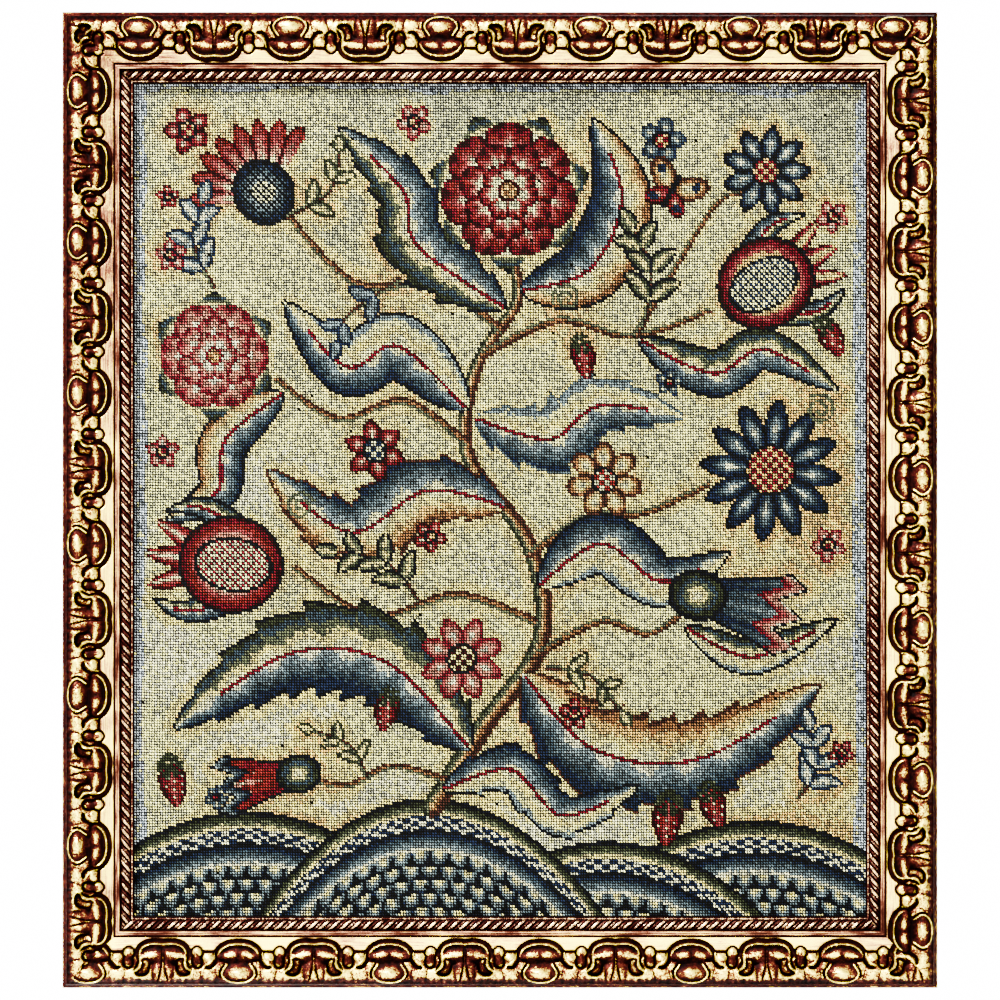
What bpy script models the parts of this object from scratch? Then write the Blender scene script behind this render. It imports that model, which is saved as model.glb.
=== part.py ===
"""Framed needlework picture: a wool-worked canvas held flat in a gilded moulding with mitred corners.

The picture stands upright in the XZ plane and faces -Y. The origin is at the middle of the top rail's back face,
which is the face that lies against the wall.
"""

import math

import bmesh
import bpy

# Driving dimensions, in metres
SIGHT_WIDTH = 0.506  # the opening in which the needlework shows
SIGHT_HEIGHT = 0.576
MOULDING_WIDTH = 0.050  # across the face of a rail, from its outer side to its sight edge
RABBET_WIDTH = 0.007  # how far the lip covers the edge of the canvas
RABBET_DEPTH = 0.015  # from the wall to the back of the lip
SIDE_HEIGHT = 0.014  # plain outer side of a rail, above the wall
HOLLOW_WIDTH = 0.0035  # the hollow above the outer side
HOLLOW_TOP = 0.026
CREST_HEIGHT = 0.034  # top of the ornamented band
BAND_INNER_EDGE = 0.030  # where the ornamented band meets the frieze
FRIEZE_OUTER_HEIGHT = 0.0275
FRIEZE_INNER_EDGE = 0.0355
FRIEZE_INNER_HEIGHT = 0.0255
QUIRK_FLOOR = 0.0240  # floor of the groove between frieze and bead
BEAD_OUTER_EDGE = 0.0368
BEAD_RADIUS = 0.0016
ROPE_CENTRE = 0.0437  # rope band, measured from the outer side
ROPE_RADIUS = 0.0038
ROPE_CENTRE_HEIGHT = 0.0205
ROPE_BED_HEIGHT = 0.0222  # where the rope starts out of the side of the bead
FILLET_HEIGHT = 0.0200  # flat fillet between the rope and the sight edge
SIGHT_EDGE_HEIGHT = 0.0194
CANVAS_THICKNESS = 0.0015
STRAINER_BAR_WIDTH = 0.030
STRAINER_THICKNESS = 0.012
STRAINER_EDGE_ROUND = 0.0008
RABBET_CLEARANCE = 0.001  # play between the strainer and the rabbet wall, on each side
SEAT_GAP = 0.0003  # hairline between pieces that touch

# Sizes that follow from them
OUTER_WIDTH = SIGHT_WIDTH + 2 * MOULDING_WIDTH
OUTER_HEIGHT = SIGHT_HEIGHT + 2 * MOULDING_WIDTH
BACK_WIDTH = MOULDING_WIDTH - RABBET_WIDTH
PICTURE_CENTRE_Z = BACK_WIDTH / 2 - OUTER_HEIGHT / 2
CANVAS_WIDTH = SIGHT_WIDTH + 2 * (RABBET_WIDTH - RABBET_CLEARANCE)
CANVAS_HEIGHT = SIGHT_HEIGHT + 2 * (RABBET_WIDTH - RABBET_CLEARANCE)
CANVAS_FACE = RABBET_DEPTH - SEAT_GAP
STRAINER_FACE = CANVAS_FACE - CANVAS_THICKNESS - SEAT_GAP

GILDING = ((0.62, 0.42, 0.17), 0.36, 0.85)
WORKED_WOOL = ((0.52, 0.48, 0.32), 0.92, 0.0)
SOFTWOOD = ((0.55, 0.40, 0.24), 0.75, 0.0)


def clear_scene():
    for obj in list(bpy.data.objects):
        bpy.data.objects.remove(obj, do_unlink=True)


def finish(name, finish_values):
    """A material with a colour, a roughness and a metallic value."""
    colour, roughness, metallic = finish_values
    material = bpy.data.materials.new(name)
    material.use_nodes = True
    shader = material.node_tree.nodes["Principled BSDF"]
    shader.inputs["Base Color"].default_value = (*colour, 1.0)
    shader.inputs["Roughness"].default_value = roughness
    shader.inputs["Metallic"].default_value = metallic
    return material


def add_piece(name, shape, finish_values):
    """Turns a bmesh into an object of its own at the picture's centre, and returns it."""
    bmesh.ops.recalc_face_normals(shape, faces=shape.faces)
    mesh = bpy.data.meshes.new(name)
    shape.to_mesh(mesh)
    shape.free()
    mesh.shade_smooth()
    mesh.set_sharp_from_angle(angle=math.radians(35))
    mesh.materials.append(finish(name + "_finish", finish_values))
    piece = bpy.data.objects.new(name, mesh)
    piece.location = (0, 0, PICTURE_CENTRE_Z)
    bpy.context.collection.objects.link(piece)
    return piece


def arc(centre, radii, start_deg, end_deg, steps):
    """Points of an elliptical arc in the section's plane, from start to end."""
    points = []
    for i in range(steps + 1):
        angle = math.radians(start_deg + (end_deg - start_deg) * i / steps)
        points.append((centre[0] + radii[0] * math.cos(angle), centre[1] + radii[1] * math.sin(angle)))
    return points


def moulding_section():
    """The rail's section as (inward from the outer side, height above the wall), once round."""
    crest_at = (HOLLOW_WIDTH + BAND_INNER_EDGE) / 2
    half_band = crest_at - HOLLOW_WIDTH
    bead_centre = BEAD_OUTER_EDGE + BEAD_RADIUS
    section = [(0, 0)]
    section += arc((0, HOLLOW_TOP), (HOLLOW_WIDTH, HOLLOW_TOP - SIDE_HEIGHT), -90, 0, 6)
    section += arc((crest_at, HOLLOW_TOP), (half_band, CREST_HEIGHT - HOLLOW_TOP), 180, 90, 7)[1:]
    section += arc(
        (crest_at, FRIEZE_OUTER_HEIGHT), (half_band, CREST_HEIGHT - FRIEZE_OUTER_HEIGHT), 90, 0, 7
    )[1:]
    section += [(FRIEZE_INNER_EDGE, FRIEZE_INNER_HEIGHT), (FRIEZE_INNER_EDGE, QUIRK_FLOOR)]
    section += arc((bead_centre, QUIRK_FLOOR), (BEAD_RADIUS, BEAD_RADIUS), 180, 0, 6)
    section += [(bead_centre + BEAD_RADIUS, ROPE_BED_HEIGHT)]
    section += arc((ROPE_CENTRE, ROPE_CENTRE_HEIGHT), (ROPE_RADIUS, ROPE_RADIUS), 160, 5, 9)
    section += [(ROPE_CENTRE + ROPE_RADIUS, FILLET_HEIGHT)]
    section += [(MOULDING_WIDTH, SIGHT_EDGE_HEIGHT), (MOULDING_WIDTH, RABBET_DEPTH)]
    section += [(BACK_WIDTH, RABBET_DEPTH), (BACK_WIDTH, 0)]
    return section


def make_rail(name, length, across, turn_deg):
    """One length of moulding. It is drawn as the top rail and turned about the picture's centre into place."""
    shape = bmesh.new()
    mitre_set_back = SEAT_GAP / 2 * math.sqrt(2)

    def mitred(side, inward, height):
        return (side * (length / 2 - inward - mitre_set_back), -height, across / 2 - inward)

    section = moulding_section()
    start = [shape.verts.new(mitred(-1, *point)) for point in section]
    cap = shape.faces.new(start)
    swept = bmesh.ops.extrude_face_region(shape, geom=[cap], use_keep_orig=True)
    for vert in swept["geom"]:
        if isinstance(vert, bmesh.types.BMVert):
            vert.co.x = -vert.co.x
    rail = add_piece(name, shape, GILDING)
    rail.rotation_euler = (0, math.radians(turn_deg), 0)
    return rail


def slab(name, width, height, front, thickness, centre_x, centre_z, edge_round, finish_values):
    """A flat rectangular piece whose face lies at the height front above the wall."""
    shape = bmesh.new()
    bmesh.ops.create_cube(shape, size=1)
    bmesh.ops.scale(shape, vec=(width, thickness, height), verts=shape.verts)
    if edge_round:
        bmesh.ops.bevel(shape, geom=shape.edges, offset=edge_round, segments=2, affect="EDGES", profile=0.5)
    bmesh.ops.translate(shape, vec=(centre_x, thickness / 2 - front, centre_z), verts=shape.verts)
    return add_piece(name, shape, finish_values)


def make_frame():
    make_rail("rail_top", OUTER_WIDTH, OUTER_HEIGHT, 0)
    make_rail("rail_right", OUTER_HEIGHT, OUTER_WIDTH, 90)
    make_rail("rail_bottom", OUTER_WIDTH, OUTER_HEIGHT, 180)
    make_rail("rail_left", OUTER_HEIGHT, OUTER_WIDTH, -90)


def make_needlework():
    slab("needlework", CANVAS_WIDTH, CANVAS_HEIGHT, CANVAS_FACE, CANVAS_THICKNESS, 0, 0, 0, WORKED_WOOL)


def make_strainer():
    """Two long bars across, and two between them, butted at the corners."""
    upright_length = CANVAS_HEIGHT - 2 * STRAINER_BAR_WIDTH - 2 * SEAT_GAP
    cross_centre = (CANVAS_HEIGHT - STRAINER_BAR_WIDTH) / 2
    upright_centre = (CANVAS_WIDTH - STRAINER_BAR_WIDTH) / 2
    for name, side in (("strainer_top", 1), ("strainer_bottom", -1)):
        slab(
            name, CANVAS_WIDTH, STRAINER_BAR_WIDTH, STRAINER_FACE, STRAINER_THICKNESS,
            0, side * cross_centre, STRAINER_EDGE_ROUND, SOFTWOOD,
        )
    for name, side in (("strainer_right", 1), ("strainer_left", -1)):
        slab(
            name, STRAINER_BAR_WIDTH, upright_length, STRAINER_FACE, STRAINER_THICKNESS,
            side * upright_centre, 0, STRAINER_EDGE_ROUND, SOFTWOOD,
        )


clear_scene()
make_frame()
make_needlework()
make_strainer()
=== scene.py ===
"""Framed needlework picture: wool-worked canvas in a gilded moulding with pressed ornament."""

import math

import bpy
import numpy as np
from mathutils import Matrix, Vector


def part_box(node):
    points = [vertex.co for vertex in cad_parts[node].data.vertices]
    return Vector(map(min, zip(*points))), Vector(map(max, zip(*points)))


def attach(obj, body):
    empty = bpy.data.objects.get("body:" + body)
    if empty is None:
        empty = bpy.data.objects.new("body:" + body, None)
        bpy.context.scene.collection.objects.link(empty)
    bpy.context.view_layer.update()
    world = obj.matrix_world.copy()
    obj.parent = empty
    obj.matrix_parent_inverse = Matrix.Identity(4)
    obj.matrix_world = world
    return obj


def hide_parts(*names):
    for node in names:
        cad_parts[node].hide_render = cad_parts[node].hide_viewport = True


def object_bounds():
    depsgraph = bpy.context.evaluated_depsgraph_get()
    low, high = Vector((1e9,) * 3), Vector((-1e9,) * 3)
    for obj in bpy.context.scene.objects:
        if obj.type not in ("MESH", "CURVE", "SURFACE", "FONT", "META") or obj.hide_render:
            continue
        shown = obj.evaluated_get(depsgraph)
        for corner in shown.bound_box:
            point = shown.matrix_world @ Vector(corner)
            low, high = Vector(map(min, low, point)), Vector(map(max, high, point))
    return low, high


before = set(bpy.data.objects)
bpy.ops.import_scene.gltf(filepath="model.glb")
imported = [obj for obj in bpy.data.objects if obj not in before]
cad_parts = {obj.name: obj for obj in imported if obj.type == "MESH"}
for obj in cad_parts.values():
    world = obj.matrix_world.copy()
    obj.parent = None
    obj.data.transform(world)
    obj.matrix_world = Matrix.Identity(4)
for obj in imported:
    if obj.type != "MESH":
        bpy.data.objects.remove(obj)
cad_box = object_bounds()

# Moulding bodies. Each rail is a length of softwood: a plain outer side with a hollow over it, seats for the
# pressed ornament and the rope with a reeded bead between, and a thin fillet at the sight edge. It is gilded
# in front, washed with ochre at the side, bare behind, and cut at 45 degrees to meet its neighbours.
MM = 0.001
MOULDING_WIDTH = 50 * MM
RABBET_WIDTH = 7 * MM
RABBET_DEPTH = 15 * MM
SIDE_HEIGHT = 14 * MM
HOLLOW_WIDTH = 3.5 * MM
HOLLOW_TOP = 26 * MM
BAND_SEAT = 22.6 * MM
FRIEZE_EDGE = 35.5 * MM
FRIEZE_HEIGHT = 25.5 * MM
QUIRK_FLOOR = 23.6 * MM
REEDS = ((37.8 * MM, 0.75 * MM), (39.2 * MM, 0.7 * MM))
REED_BASE = 24.4 * MM
ROPE_SEAT = 19.4 * MM
ROPE_OUTER = 40.2 * MM
ROPE_INNER = 47.8 * MM
ROPE_CENTRE = 44.0 * MM
ROPE_HALF_WIDTH = 3.6 * MM
ROPE_PITCH = 7.5 * MM
ROPE_SLOPE = 1.03
ROPE_CURL = 0.9 * MM
BROAD_STRAND = (0.30, 0.245)
THIN_STRAND = (0.75, 0.165)
FILLET_TOP = 20.3 * MM
FILLET = (
    # inward and how far below its top, in mm
    (47.8, 0.4), (48.0, 0.1), (48.3, 0), (48.6, 0), (48.8, 0.15), (48.9, 0.4), (49.3, 0.9), (50, 1.2),
)
MITRE_SET_BACK = 0.01 * MM
JOINT_SET_BACK = 0.25 * MM

low, high = cad_box
OUTER_WIDTH = high[0] - low[0]
OUTER_HEIGHT = high[2] - low[2]
CENTRE = Vector(((low[0] + high[0]) / 2, 0, (low[2] + high[2]) / 2))
RAILS = (
    # side, length along the rail, size across the picture, turn, place of one shell along the rail
    ("top", OUTER_WIDTH, OUTER_HEIGHT, 0, -40.9 * MM),
    ("right", OUTER_HEIGHT, OUTER_WIDTH, 90, -15.1 * MM),
    ("bottom", OUTER_WIDTH, OUTER_HEIGHT, 180, -27.8 * MM),
    ("left", OUTER_HEIGHT, OUTER_WIDTH, -90, -30.4 * MM),
)


class Wire:
    """An output of a shader node. Arithmetic on it adds Math nodes."""

    def __init__(self, finish, socket):
        self.finish = finish
        self.socket = socket

    def math(self, operation, *values, clamp=False):
        settings = {"operation": operation, "use_clamp": clamp}
        return self.finish.node("ShaderNodeMath", settings, dict(enumerate(values)))

    def __add__(self, other):
        return self.math("ADD", self, other)

    def __sub__(self, other):
        return self.math("SUBTRACT", self, other)

    def __mul__(self, other):
        return self.math("MULTIPLY", self, other)

    def __truediv__(self, other):
        return self.math("DIVIDE", self, other)

    def __rsub__(self, other):
        return self.math("SUBTRACT", other, self)

    def __pow__(self, power):
        return self.math("POWER", self, power)

    __radd__ = __add__
    __rmul__ = __mul__

    def between(self, start, end):
        """0 up to start and 1 from end, rising smoothly."""
        settings = {"interpolation_type": "SMOOTHSTEP", "clamp": True}
        inputs = {"Value": self, "From Min": start, "From Max": end}
        return self.finish.node("ShaderNodeMapRange", settings, inputs)


class Finish:
    """A material: constants on its own shader, and nodes for what varies over the surface."""

    def __init__(self, name, **constants):
        self.material = bpy.data.materials.new(name)
        self.material.use_nodes = True
        self.nodes = self.material.node_tree.nodes
        self.links = self.material.node_tree.links
        self.shader = self.nodes["Principled BSDF"]
        for key, value in constants.items():
            self.shader.inputs[key.replace("_", " ")].default_value = value

    def node(self, kind, settings=None, inputs=None, output=0):
        """Adds a node: its settings first, then the values or wires of its sockets."""
        made = self.nodes.new(kind)
        for key, value in (settings or {}).items():
            if key == "stops":
                ramp = made.color_ramp
                while len(ramp.elements) < len(value):
                    ramp.elements.new(1)
                for stop, (at, colour) in zip(ramp.elements, value):
                    stop.position = at
                    stop.color = (*colour, 1)
            else:
                setattr(made, key, value)
        for key, value in (inputs or {}).items():
            if isinstance(value, Wire):
                self.links.new(value.socket, made.inputs[key])
            else:
                made.inputs[key].default_value = value
        return Wire(self, made.outputs[output])

    def place(self, scale=(1, 1, 1), uv=False, turn=(0, 0, 0)):
        """Object coordinates in metres, or the piece's own map, stretched by scale."""
        source = self.node("ShaderNodeTexCoord", output=2 if uv else 3)
        return self.node("ShaderNodeMapping", None, {"Vector": source, "Scale": scale, "Rotation": turn})

    def noise(self, where, size, detail=3.0, roughness=0.55):
        """Cloudy variation whose patches measure about size in the coordinates given."""
        inputs = {"Vector": where, "Scale": 1 / size, "Detail": detail, "Roughness": roughness}
        return self.node("ShaderNodeTexNoise", None, inputs)

    def attribute(self, name, colour=False):
        return self.node("ShaderNodeAttribute", {"attribute_name": name}, output=0 if colour else 2)

    def ramp(self, factor, *stops):
        return self.node("ShaderNodeValToRGB", {"stops": stops}, {"Fac": factor})

    def mix(self, factor, first, second):
        settings = {"data_type": "RGBA", "clamp_factor": True}
        inputs = {0: factor, 6: first, 7: second}
        return self.node("ShaderNodeMix", settings, inputs, output=2)

    def bump(self, height, depth, strength=1.0):
        inputs = {"Height": height, "Distance": depth, "Strength": strength}
        self.connect("Normal", self.node("ShaderNodeBump", None, inputs))

    def connect(self, socket, wire):
        self.links.new(wire.socket, self.shader.inputs[socket])


def gilding(name="gilding", worn=False, twisted=False):
    """Leaf over dark red clay: yellow cream where it is rubbed bright, then orange, maroon and near black;
    the rubbed value also carries some painted highlights and painted shade.
    """
    gold = Finish(name, Specular_IOR_Level=0.004)
    rubbed = gold.attribute("rubbed")
    plain = gold.attribute("plain")
    place = gold.place()
    cloud = gold.noise(place, 0.030, 4)
    patch = gold.noise(place, 0.0042, 4, 0.65)
    speck = gold.noise(place, 0.0012, 3, 0.8)
    brush = gold.noise(gold.place((40, 1700, 1), uv=True), 1.0, 4, 0.7)
    # On the rope, painted shade in the grooves between the strands
    if twisted:
        rubbed = rubbed * rope_strands(gold)
    bright = gold.attribute("rim").between(0.72, 0.90)
    deep = gold.attribute("cut").between(0.42, 0.66)
    flecks = (speck - 0.5) * (rubbed * 1.6 + 0.5)
    wear = rubbed * 0.98 - 0.09 + (cloud - 0.5) * 0.5 + (patch - 0.5) * 1.2 + flecks
    wear = wear + deep * ((patch - 0.3) * 0.8 - wear)
    wear = wear + bright * (0.74 + cloud * 0.5 - wear)
    worn_leaf = ((0.056, 0.028, 0.018), (0.22, 0.110, 0.065), (1.0, 0.60, 0.20))
    bright_leaf = ((0.068, 0.013, 0.0055), (0.38, 0.125, 0.020), (1.0, 0.83, 0.02))
    thin, half_gone, whole = worn_leaf if worn else bright_leaf
    relief = gold.ramp(
        wear,
        (0.05, (0.0006, 0.0001, 0.0001)),
        (0.26, (0.0046, 0.0006, 0.0004)),
        (0.42, (0.012, 0.0011, 0.0009)),
        (0.53, (0.028, 0.0045, 0.0030)),
        (0.62, thin),
        (0.70, half_gone),
        (0.76, whole),
    )
    streaks = rubbed - 0.02 + (brush - 0.5) * 1.9 + (cloud - 0.5) * 1.2 + (speck - 0.5) * 0.5
    streaks = streaks * (1 - deep)
    flat = gold.ramp(
        streaks,
        (0.24, (0.008, 0.0012, 0.0008)),
        (0.42, (0.045, 0.012, 0.006)),
        (0.56, (0.20, 0.078, 0.040)),
        (0.68, (0.56, 0.29, 0.07)),
        (0.86, (1.0, 0.80, 0.01)),
    )
    gold.connect("Base Color", gold.mix(plain, relief, flat))
    gold.connect("Metallic", wear.between(0.42, 0.75) * 0.8 + 0.12)
    gold.connect("Roughness", 0.50 - rubbed * 0.20 + speck * 0.14)
    gold.bump(speck * 0.5 + brush * plain * 0.8 + bright * 1.2 - deep * 1.5, 0.00022, 0.6)
    return gold.material


def rope_strands(gold):
    """How bright the leaf on the rope is painted: full on the strands and 0 in the lines between them, which
    is painted shade in the grooves.
    """
    on_map = gold.place(uv=True)
    along = gold.node("ShaderNodeSeparateXYZ", None, {0: on_map}, output=0)
    inward = gold.node("ShaderNodeSeparateXYZ", None, {0: on_map}, output=1)
    across = (inward - ROPE_CENTRE) / ROPE_HALF_WIDTH
    phase = (along + inward * ROPE_SLOPE + across * across * across * ROPE_CURL) / ROPE_PITCH
    turn = phase.math("FRACT", phase)
    strands = 0
    for (centre, half), shine in ((BROAD_STRAND, 1.0), (THIN_STRAND, 0.66)):
        off = turn.math("ABSOLUTE", (turn - centre) / half)
        strands = strands + (1 - off).between(0.12, 0.58) * shine
    return strands


def bare_wood(name, pale, dark, upright=False):
    """Sawn softwood with long grain and a few darker streaks, gone brown in patches."""
    wood = Finish(name)
    fine, coarse = ((260, 260, 8), (60, 60, 2.5)) if upright else ((8, 260, 260), (2.5, 60, 60))
    grain = wood.noise(wood.place(fine), 1.0, 5, 0.65)
    streak = wood.noise(wood.place(coarse), 1.0, 3)
    grime = wood.noise(wood.place(), 0.06, 4)
    tone = grain * 0.6 + streak * 0.5 + (grime - 0.5) * 0.35
    wood.connect("Base Color", wood.ramp(tone, (0.32, dark), (0.75, pale)))
    wood.connect("Roughness", 0.62 + grain * 0.25)
    wood.bump(grain, 0.0004, 0.7)
    return wood.material


def wood_both_ways(name, pale, dark):
    """The wood for bars that lie across, and for those that stand upright."""
    return {way: bare_wood(name + "_" + way, pale, dark, way == "upright") for way in ("across", "upright")}


def grain_way(side):
    return "across" if side in ("top", "bottom") else "upright"


def side_wash():
    """Thin ochre over gesso, rubbed through to brown where the picture has been handled."""
    wash = Finish("side_ochre", Specular_IOR_Level=0.05)
    cloud = wash.noise(wash.place(), 0.022, 5, 0.6)
    grit = wash.noise(wash.place(), 0.0016, 3, 0.7)
    tone = cloud * 0.8 + grit * 0.3
    brown, tan, ochre = (0.006, 0.0022, 0.0012), (0.024, 0.0095, 0.0030), (0.060, 0.028, 0.0070)
    wash.connect("Base Color", wash.ramp(tone, (0.38, brown), (0.50, tan), (0.72, ochre)))
    wash.connect("Roughness", 0.6 + grit * 0.3)
    wash.bump(grit + cloud, 0.0003, 0.6)
    return wash.material


GILT = gilding()
WORN_GILT = gilding("fillet_gilding", worn=True)
ROPE_GILT = gilding("rope_gilding", worn=True, twisted=True)
SIDE_WASH = side_wash()
RAIL_WOOD = wood_both_ways("rail_wood", (0.145, 0.074, 0.030), (0.036, 0.016, 0.007))


def select_only(piece):
    bpy.ops.object.select_all(action="DESELECT")
    piece.select_set(True)
    bpy.context.view_layer.objects.active = piece


def in_edit_mode(piece, *steps):
    """Selects the whole of a piece in edit mode and takes each step in turn."""
    select_only(piece)
    bpy.ops.object.mode_set(mode="EDIT")
    bpy.ops.mesh.select_all(action="SELECT")
    for step in steps:
        step()
    bpy.ops.object.mode_set(mode="OBJECT")


def face_outwards():
    bpy.ops.mesh.select_all(action="SELECT")
    bpy.ops.mesh.normals_make_consistent(inside=False)


def close_under(depth=0.0):
    """A step that turns the edge of an open grid down by depth and closes it underneath."""

    def step():
        bpy.ops.mesh.region_to_loop()
        bpy.ops.mesh.extrude_edges_move(TRANSFORM_OT_translate={"value": (0, depth, 0)})
        bpy.ops.mesh.edge_face_add()

    return step


def draw_out():
    bpy.ops.mesh.extrude_region_move(TRANSFORM_OT_translate={"value": (0, 0, 0)})


def rail_place(across, turn):
    """Carries points given along a rail, inward from its outer side and above the wall into the picture."""
    turned = Matrix.Translation(CENTRE) @ Matrix.Rotation(math.radians(turn), 4, "Y")

    def carry(along, inward, height):
        points = np.stack([along, -height, across / 2 - inward, np.ones_like(along)], axis=-1)
        return (points @ np.array(turned).T)[..., :3]

    return carry


def put_vertices(piece, points):
    piece.data.vertices.foreach_set("co", np.asarray(points, np.float32).ravel())
    piece.data.update()


def vertices_of(piece):
    points = np.empty(len(piece.data.vertices) * 3, np.float32)
    piece.data.vertices.foreach_get("co", points)
    return points.reshape(-1, 3)


def map_rail(piece, along, inward):
    """A map in metres: along the rail, and inward from its outer side."""
    mesh = piece.data
    layer = mesh.uv_layers[0] if mesh.uv_layers else mesh.uv_layers.new(name="rail")
    corner = np.empty(len(mesh.loops), int)
    mesh.loops.foreach_get("vertex_index", corner)
    places = np.stack([along[corner], inward[corner]], axis=-1)
    layer.data.foreach_set("uv", places.astype(np.float32).ravel())


def set_values(piece, name, values):
    layer = piece.data.attributes.new(name, "FLOAT", "POINT")
    layer.data.foreach_set("value", np.asarray(values, np.float32))


def finish_piece(piece, slot, *nodes):
    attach(piece, "root")
    if nodes:
        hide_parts(*nodes)


def round_over(centre, radii, start, end, steps):
    angles = np.radians(np.linspace(start, end, steps))
    return [(centre[0] + radii[0] * math.cos(t), centre[1] + radii[1] * math.sin(t)) for t in angles]


def body_section():
    """The wood's section, once round, as inward from the outer side and height above the wall."""
    points = [(0, 0.6 * MM), (0, SIDE_HEIGHT - 0.6 * MM)]
    points += round_over((0, HOLLOW_TOP), (HOLLOW_WIDTH, HOLLOW_TOP - SIDE_HEIGHT), -85, 0, 8)
    points += [(HOLLOW_WIDTH + 0.4 * MM, BAND_SEAT), (FRIEZE_EDGE - 0.4 * MM, BAND_SEAT)]
    points += [(FRIEZE_EDGE + 0.1 * MM, QUIRK_FLOOR), (REEDS[0][0] - REEDS[0][1], QUIRK_FLOOR)]
    for centre, radius in REEDS:
        points += round_over((centre, REED_BASE), (radius, radius), 180, 0, 6)
    points += [(ROPE_OUTER, ROPE_SEAT), (ROPE_INNER, ROPE_SEAT)]
    points += [(u * MM, FILLET_TOP - drop * MM) for u, drop in FILLET]
    points += [(MOULDING_WIDTH, RABBET_DEPTH), (MOULDING_WIDTH - RABBET_WIDTH, RABBET_DEPTH)]
    points += [(MOULDING_WIDTH - RABBET_WIDTH, 0), (0.6 * MM, 0)]
    return np.array(points)


SECTION = body_section()
BODY_RUB_AND_SHADOW = (
    # inward in mm, and how bright the leaf is rubbed there; the 0 from 48.9 mm to the sight edge is painted
    # shadow, the dark line along the sight edge
    (0, 0.64), (0.35, 0.72), (0.8, 0.46), (1.6, 0.40), (3.5, 0.42), (3.9, 0.40), (4.0, 0), (37.1, 0),
    (37.3, 0.44), (37.9, 0.62), (38.35, 0.14), (38.7, 0.54), (39.3, 0.62), (39.8, 0.20), (40.2, 0.02),
    (47.8, 0.10), (48.0, 0.58), (48.3, 0.70), (48.6, 0.70), (48.8, 0.40), (48.9, 0), (50, 0),
)
# How much lighter or darker the outer hollow of each rail is painted: painted light and shade, darker at the
# top and lighter at the right
HOLLOW_PAINTED_LIGHT = {"top": -0.06, "right": 0.12, "bottom": 0.03, "left": 0.0}
BARE, WORN, WASHED = 1, 2, 3
for side, length, across, turn, shell_at in RAILS:
    carry = rail_place(across, turn)
    bpy.ops.object.select_all(action="DESELECT")
    bpy.ops.mesh.primitive_circle_add(vertices=len(SECTION), radius=MOULDING_WIDTH, fill_type="NGON")
    body = bpy.context.object
    body.name = "moulding_" + side
    inward, height = SECTION.T
    reach = length / 2 - inward - MITRE_SET_BACK
    put_vertices(body, carry(-reach, inward, height))
    in_edit_mode(body, draw_out)
    points = np.concatenate([carry(-reach, inward, height), carry(reach, inward, height)])
    put_vertices(body, points)
    in_edit_mode(body, face_outwards)
    along = np.concatenate([-reach, reach])
    map_rail(body, along, np.tile(inward, 2))
    # The rubbed leaf across the rail, with the painted light and shade of its outer hollow
    shown = np.interp(inward / MM, *zip(*BODY_RUB_AND_SHADOW)) + HOLLOW_PAINTED_LIGHT[side] * (inward < 4 * MM)
    set_values(body, "rubbed", np.tile(shown, 2))
    set_values(body, "plain", np.tile((inward > 36 * MM) & (inward < 40.1 * MM), 2))
    for finish in (GILT, RAIL_WOOD[grain_way(side)], WORN_GILT, SIDE_WASH):
        body.data.materials.append(finish)
    for face in body.data.polygons:
        heights = [-points[v][1] for v in face.vertices]
        reach_in = [inward[v % len(inward)] for v in face.vertices]
        starts_at_wall = min(heights) < 1 * MM and max(heights) < RABBET_DEPTH + 0.1 * MM
        if starts_at_wall and face.normal.y > -0.5:
            behind = face.normal.y > 0.5 or max(heights) > RABBET_DEPTH - 0.9 * MM
            face.material_index = BARE if behind else WASHED
        elif min(reach_in) > ROPE_INNER - 0.1 * MM or max(reach_in) < 1 * MM:
            face.material_index = WORN
    bpy.ops.object.shade_smooth_by_angle(angle=math.radians(32))
    finish_piece(body, "gilded_moulding", "rail_" + side)


# Pressed ornament. A band of composition is pressed in a carved mould and glued to the seat of each rail
# before it is gilded: a lobed leaf with shells and split scrolls by turns, small leaves and buds between
# them, and the plain frieze that runs to the quirk. One half repeat is drawn here, in millimetres.
REPEAT = 104.3
BAND_OUTER = 3.5
BAND_INNER = 35.5
LEAF_FOOT = 25.1
LINE_REACH = 2.0
SHELL = [
    (0, 3.6), (5.6, 4.2), (9.8, 6.4), (12.0, 9.6), (11.8, 12.8), (10.0, 15.6), (8.6, 18.0), (9.6, 20.0),
    (12.9, 20.3), (14.9, 22.1), (14.4, 25.2), (11.6, 28.7), (6.6, 31.3), (0, 32.0),
]
SCROLL = [
    (0, 6.4), (2.6, 5.4), (5.4, 5.8), (7.6, 8.0), (8.2, 12), (8.4, 17), (9.8, 20.3), (13.6, 21.8),
    (16.6, 23.8), (16.4, 26.8), (14.4, 29.7), (10.8, 31.6), (5.6, 32.4), (0, 31.9),
]
EYE = [
    (19.6, 11.6), (18.0, 9.6), (14.8, 8.8), (11.6, 9.4), (9.2, 11.6), (8.4, 14.8), (8.4, 18.4),
    (10.2, 21.2), (14.0, 21.8), (15.0, 20.6), (14.6, 17.6), (15.6, 14.6), (17.8, 13.2),
]
BUD = [
    (28.4, 15.4), (30.6, 16.6), (31.0, 19.6), (30.8, 22.2), (32.0, 24.4), (31.2, 27.2), (28.6, 28.7),
    (26.0, 27.2), (25.2, 24.6), (26.2, 22.2), (25.6, 19.4), (26.0, 16.6),
]
HOOK = [(10.6, 20.4), (13.4, 21.2), (15.4, 19.4), (17.2, 16.8), (19.4, 15.1), (21.8, 15.3)]
HOOK_LIGHT = [(22.6, 16.4), (20.6, 17.7), (18.2, 20.0), (16.9, 22.6), (16.5, 25.2)]
FALL = [(15.4, 19.4), (14.9, 22.0), (15.2, 24.4), (16.2, 26.2)]
ARM = [(34.4, 22.6), (35.4, 19.6), (34.0, 16.2), (32.8, 13.6)]


def smooth(start, end, x):
    """0 up to start and 1 from end, rising smoothly."""
    t = np.clip((x - start) / (end - start), 0, 1)
    return t * t * (3 - 2 * t)


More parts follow.
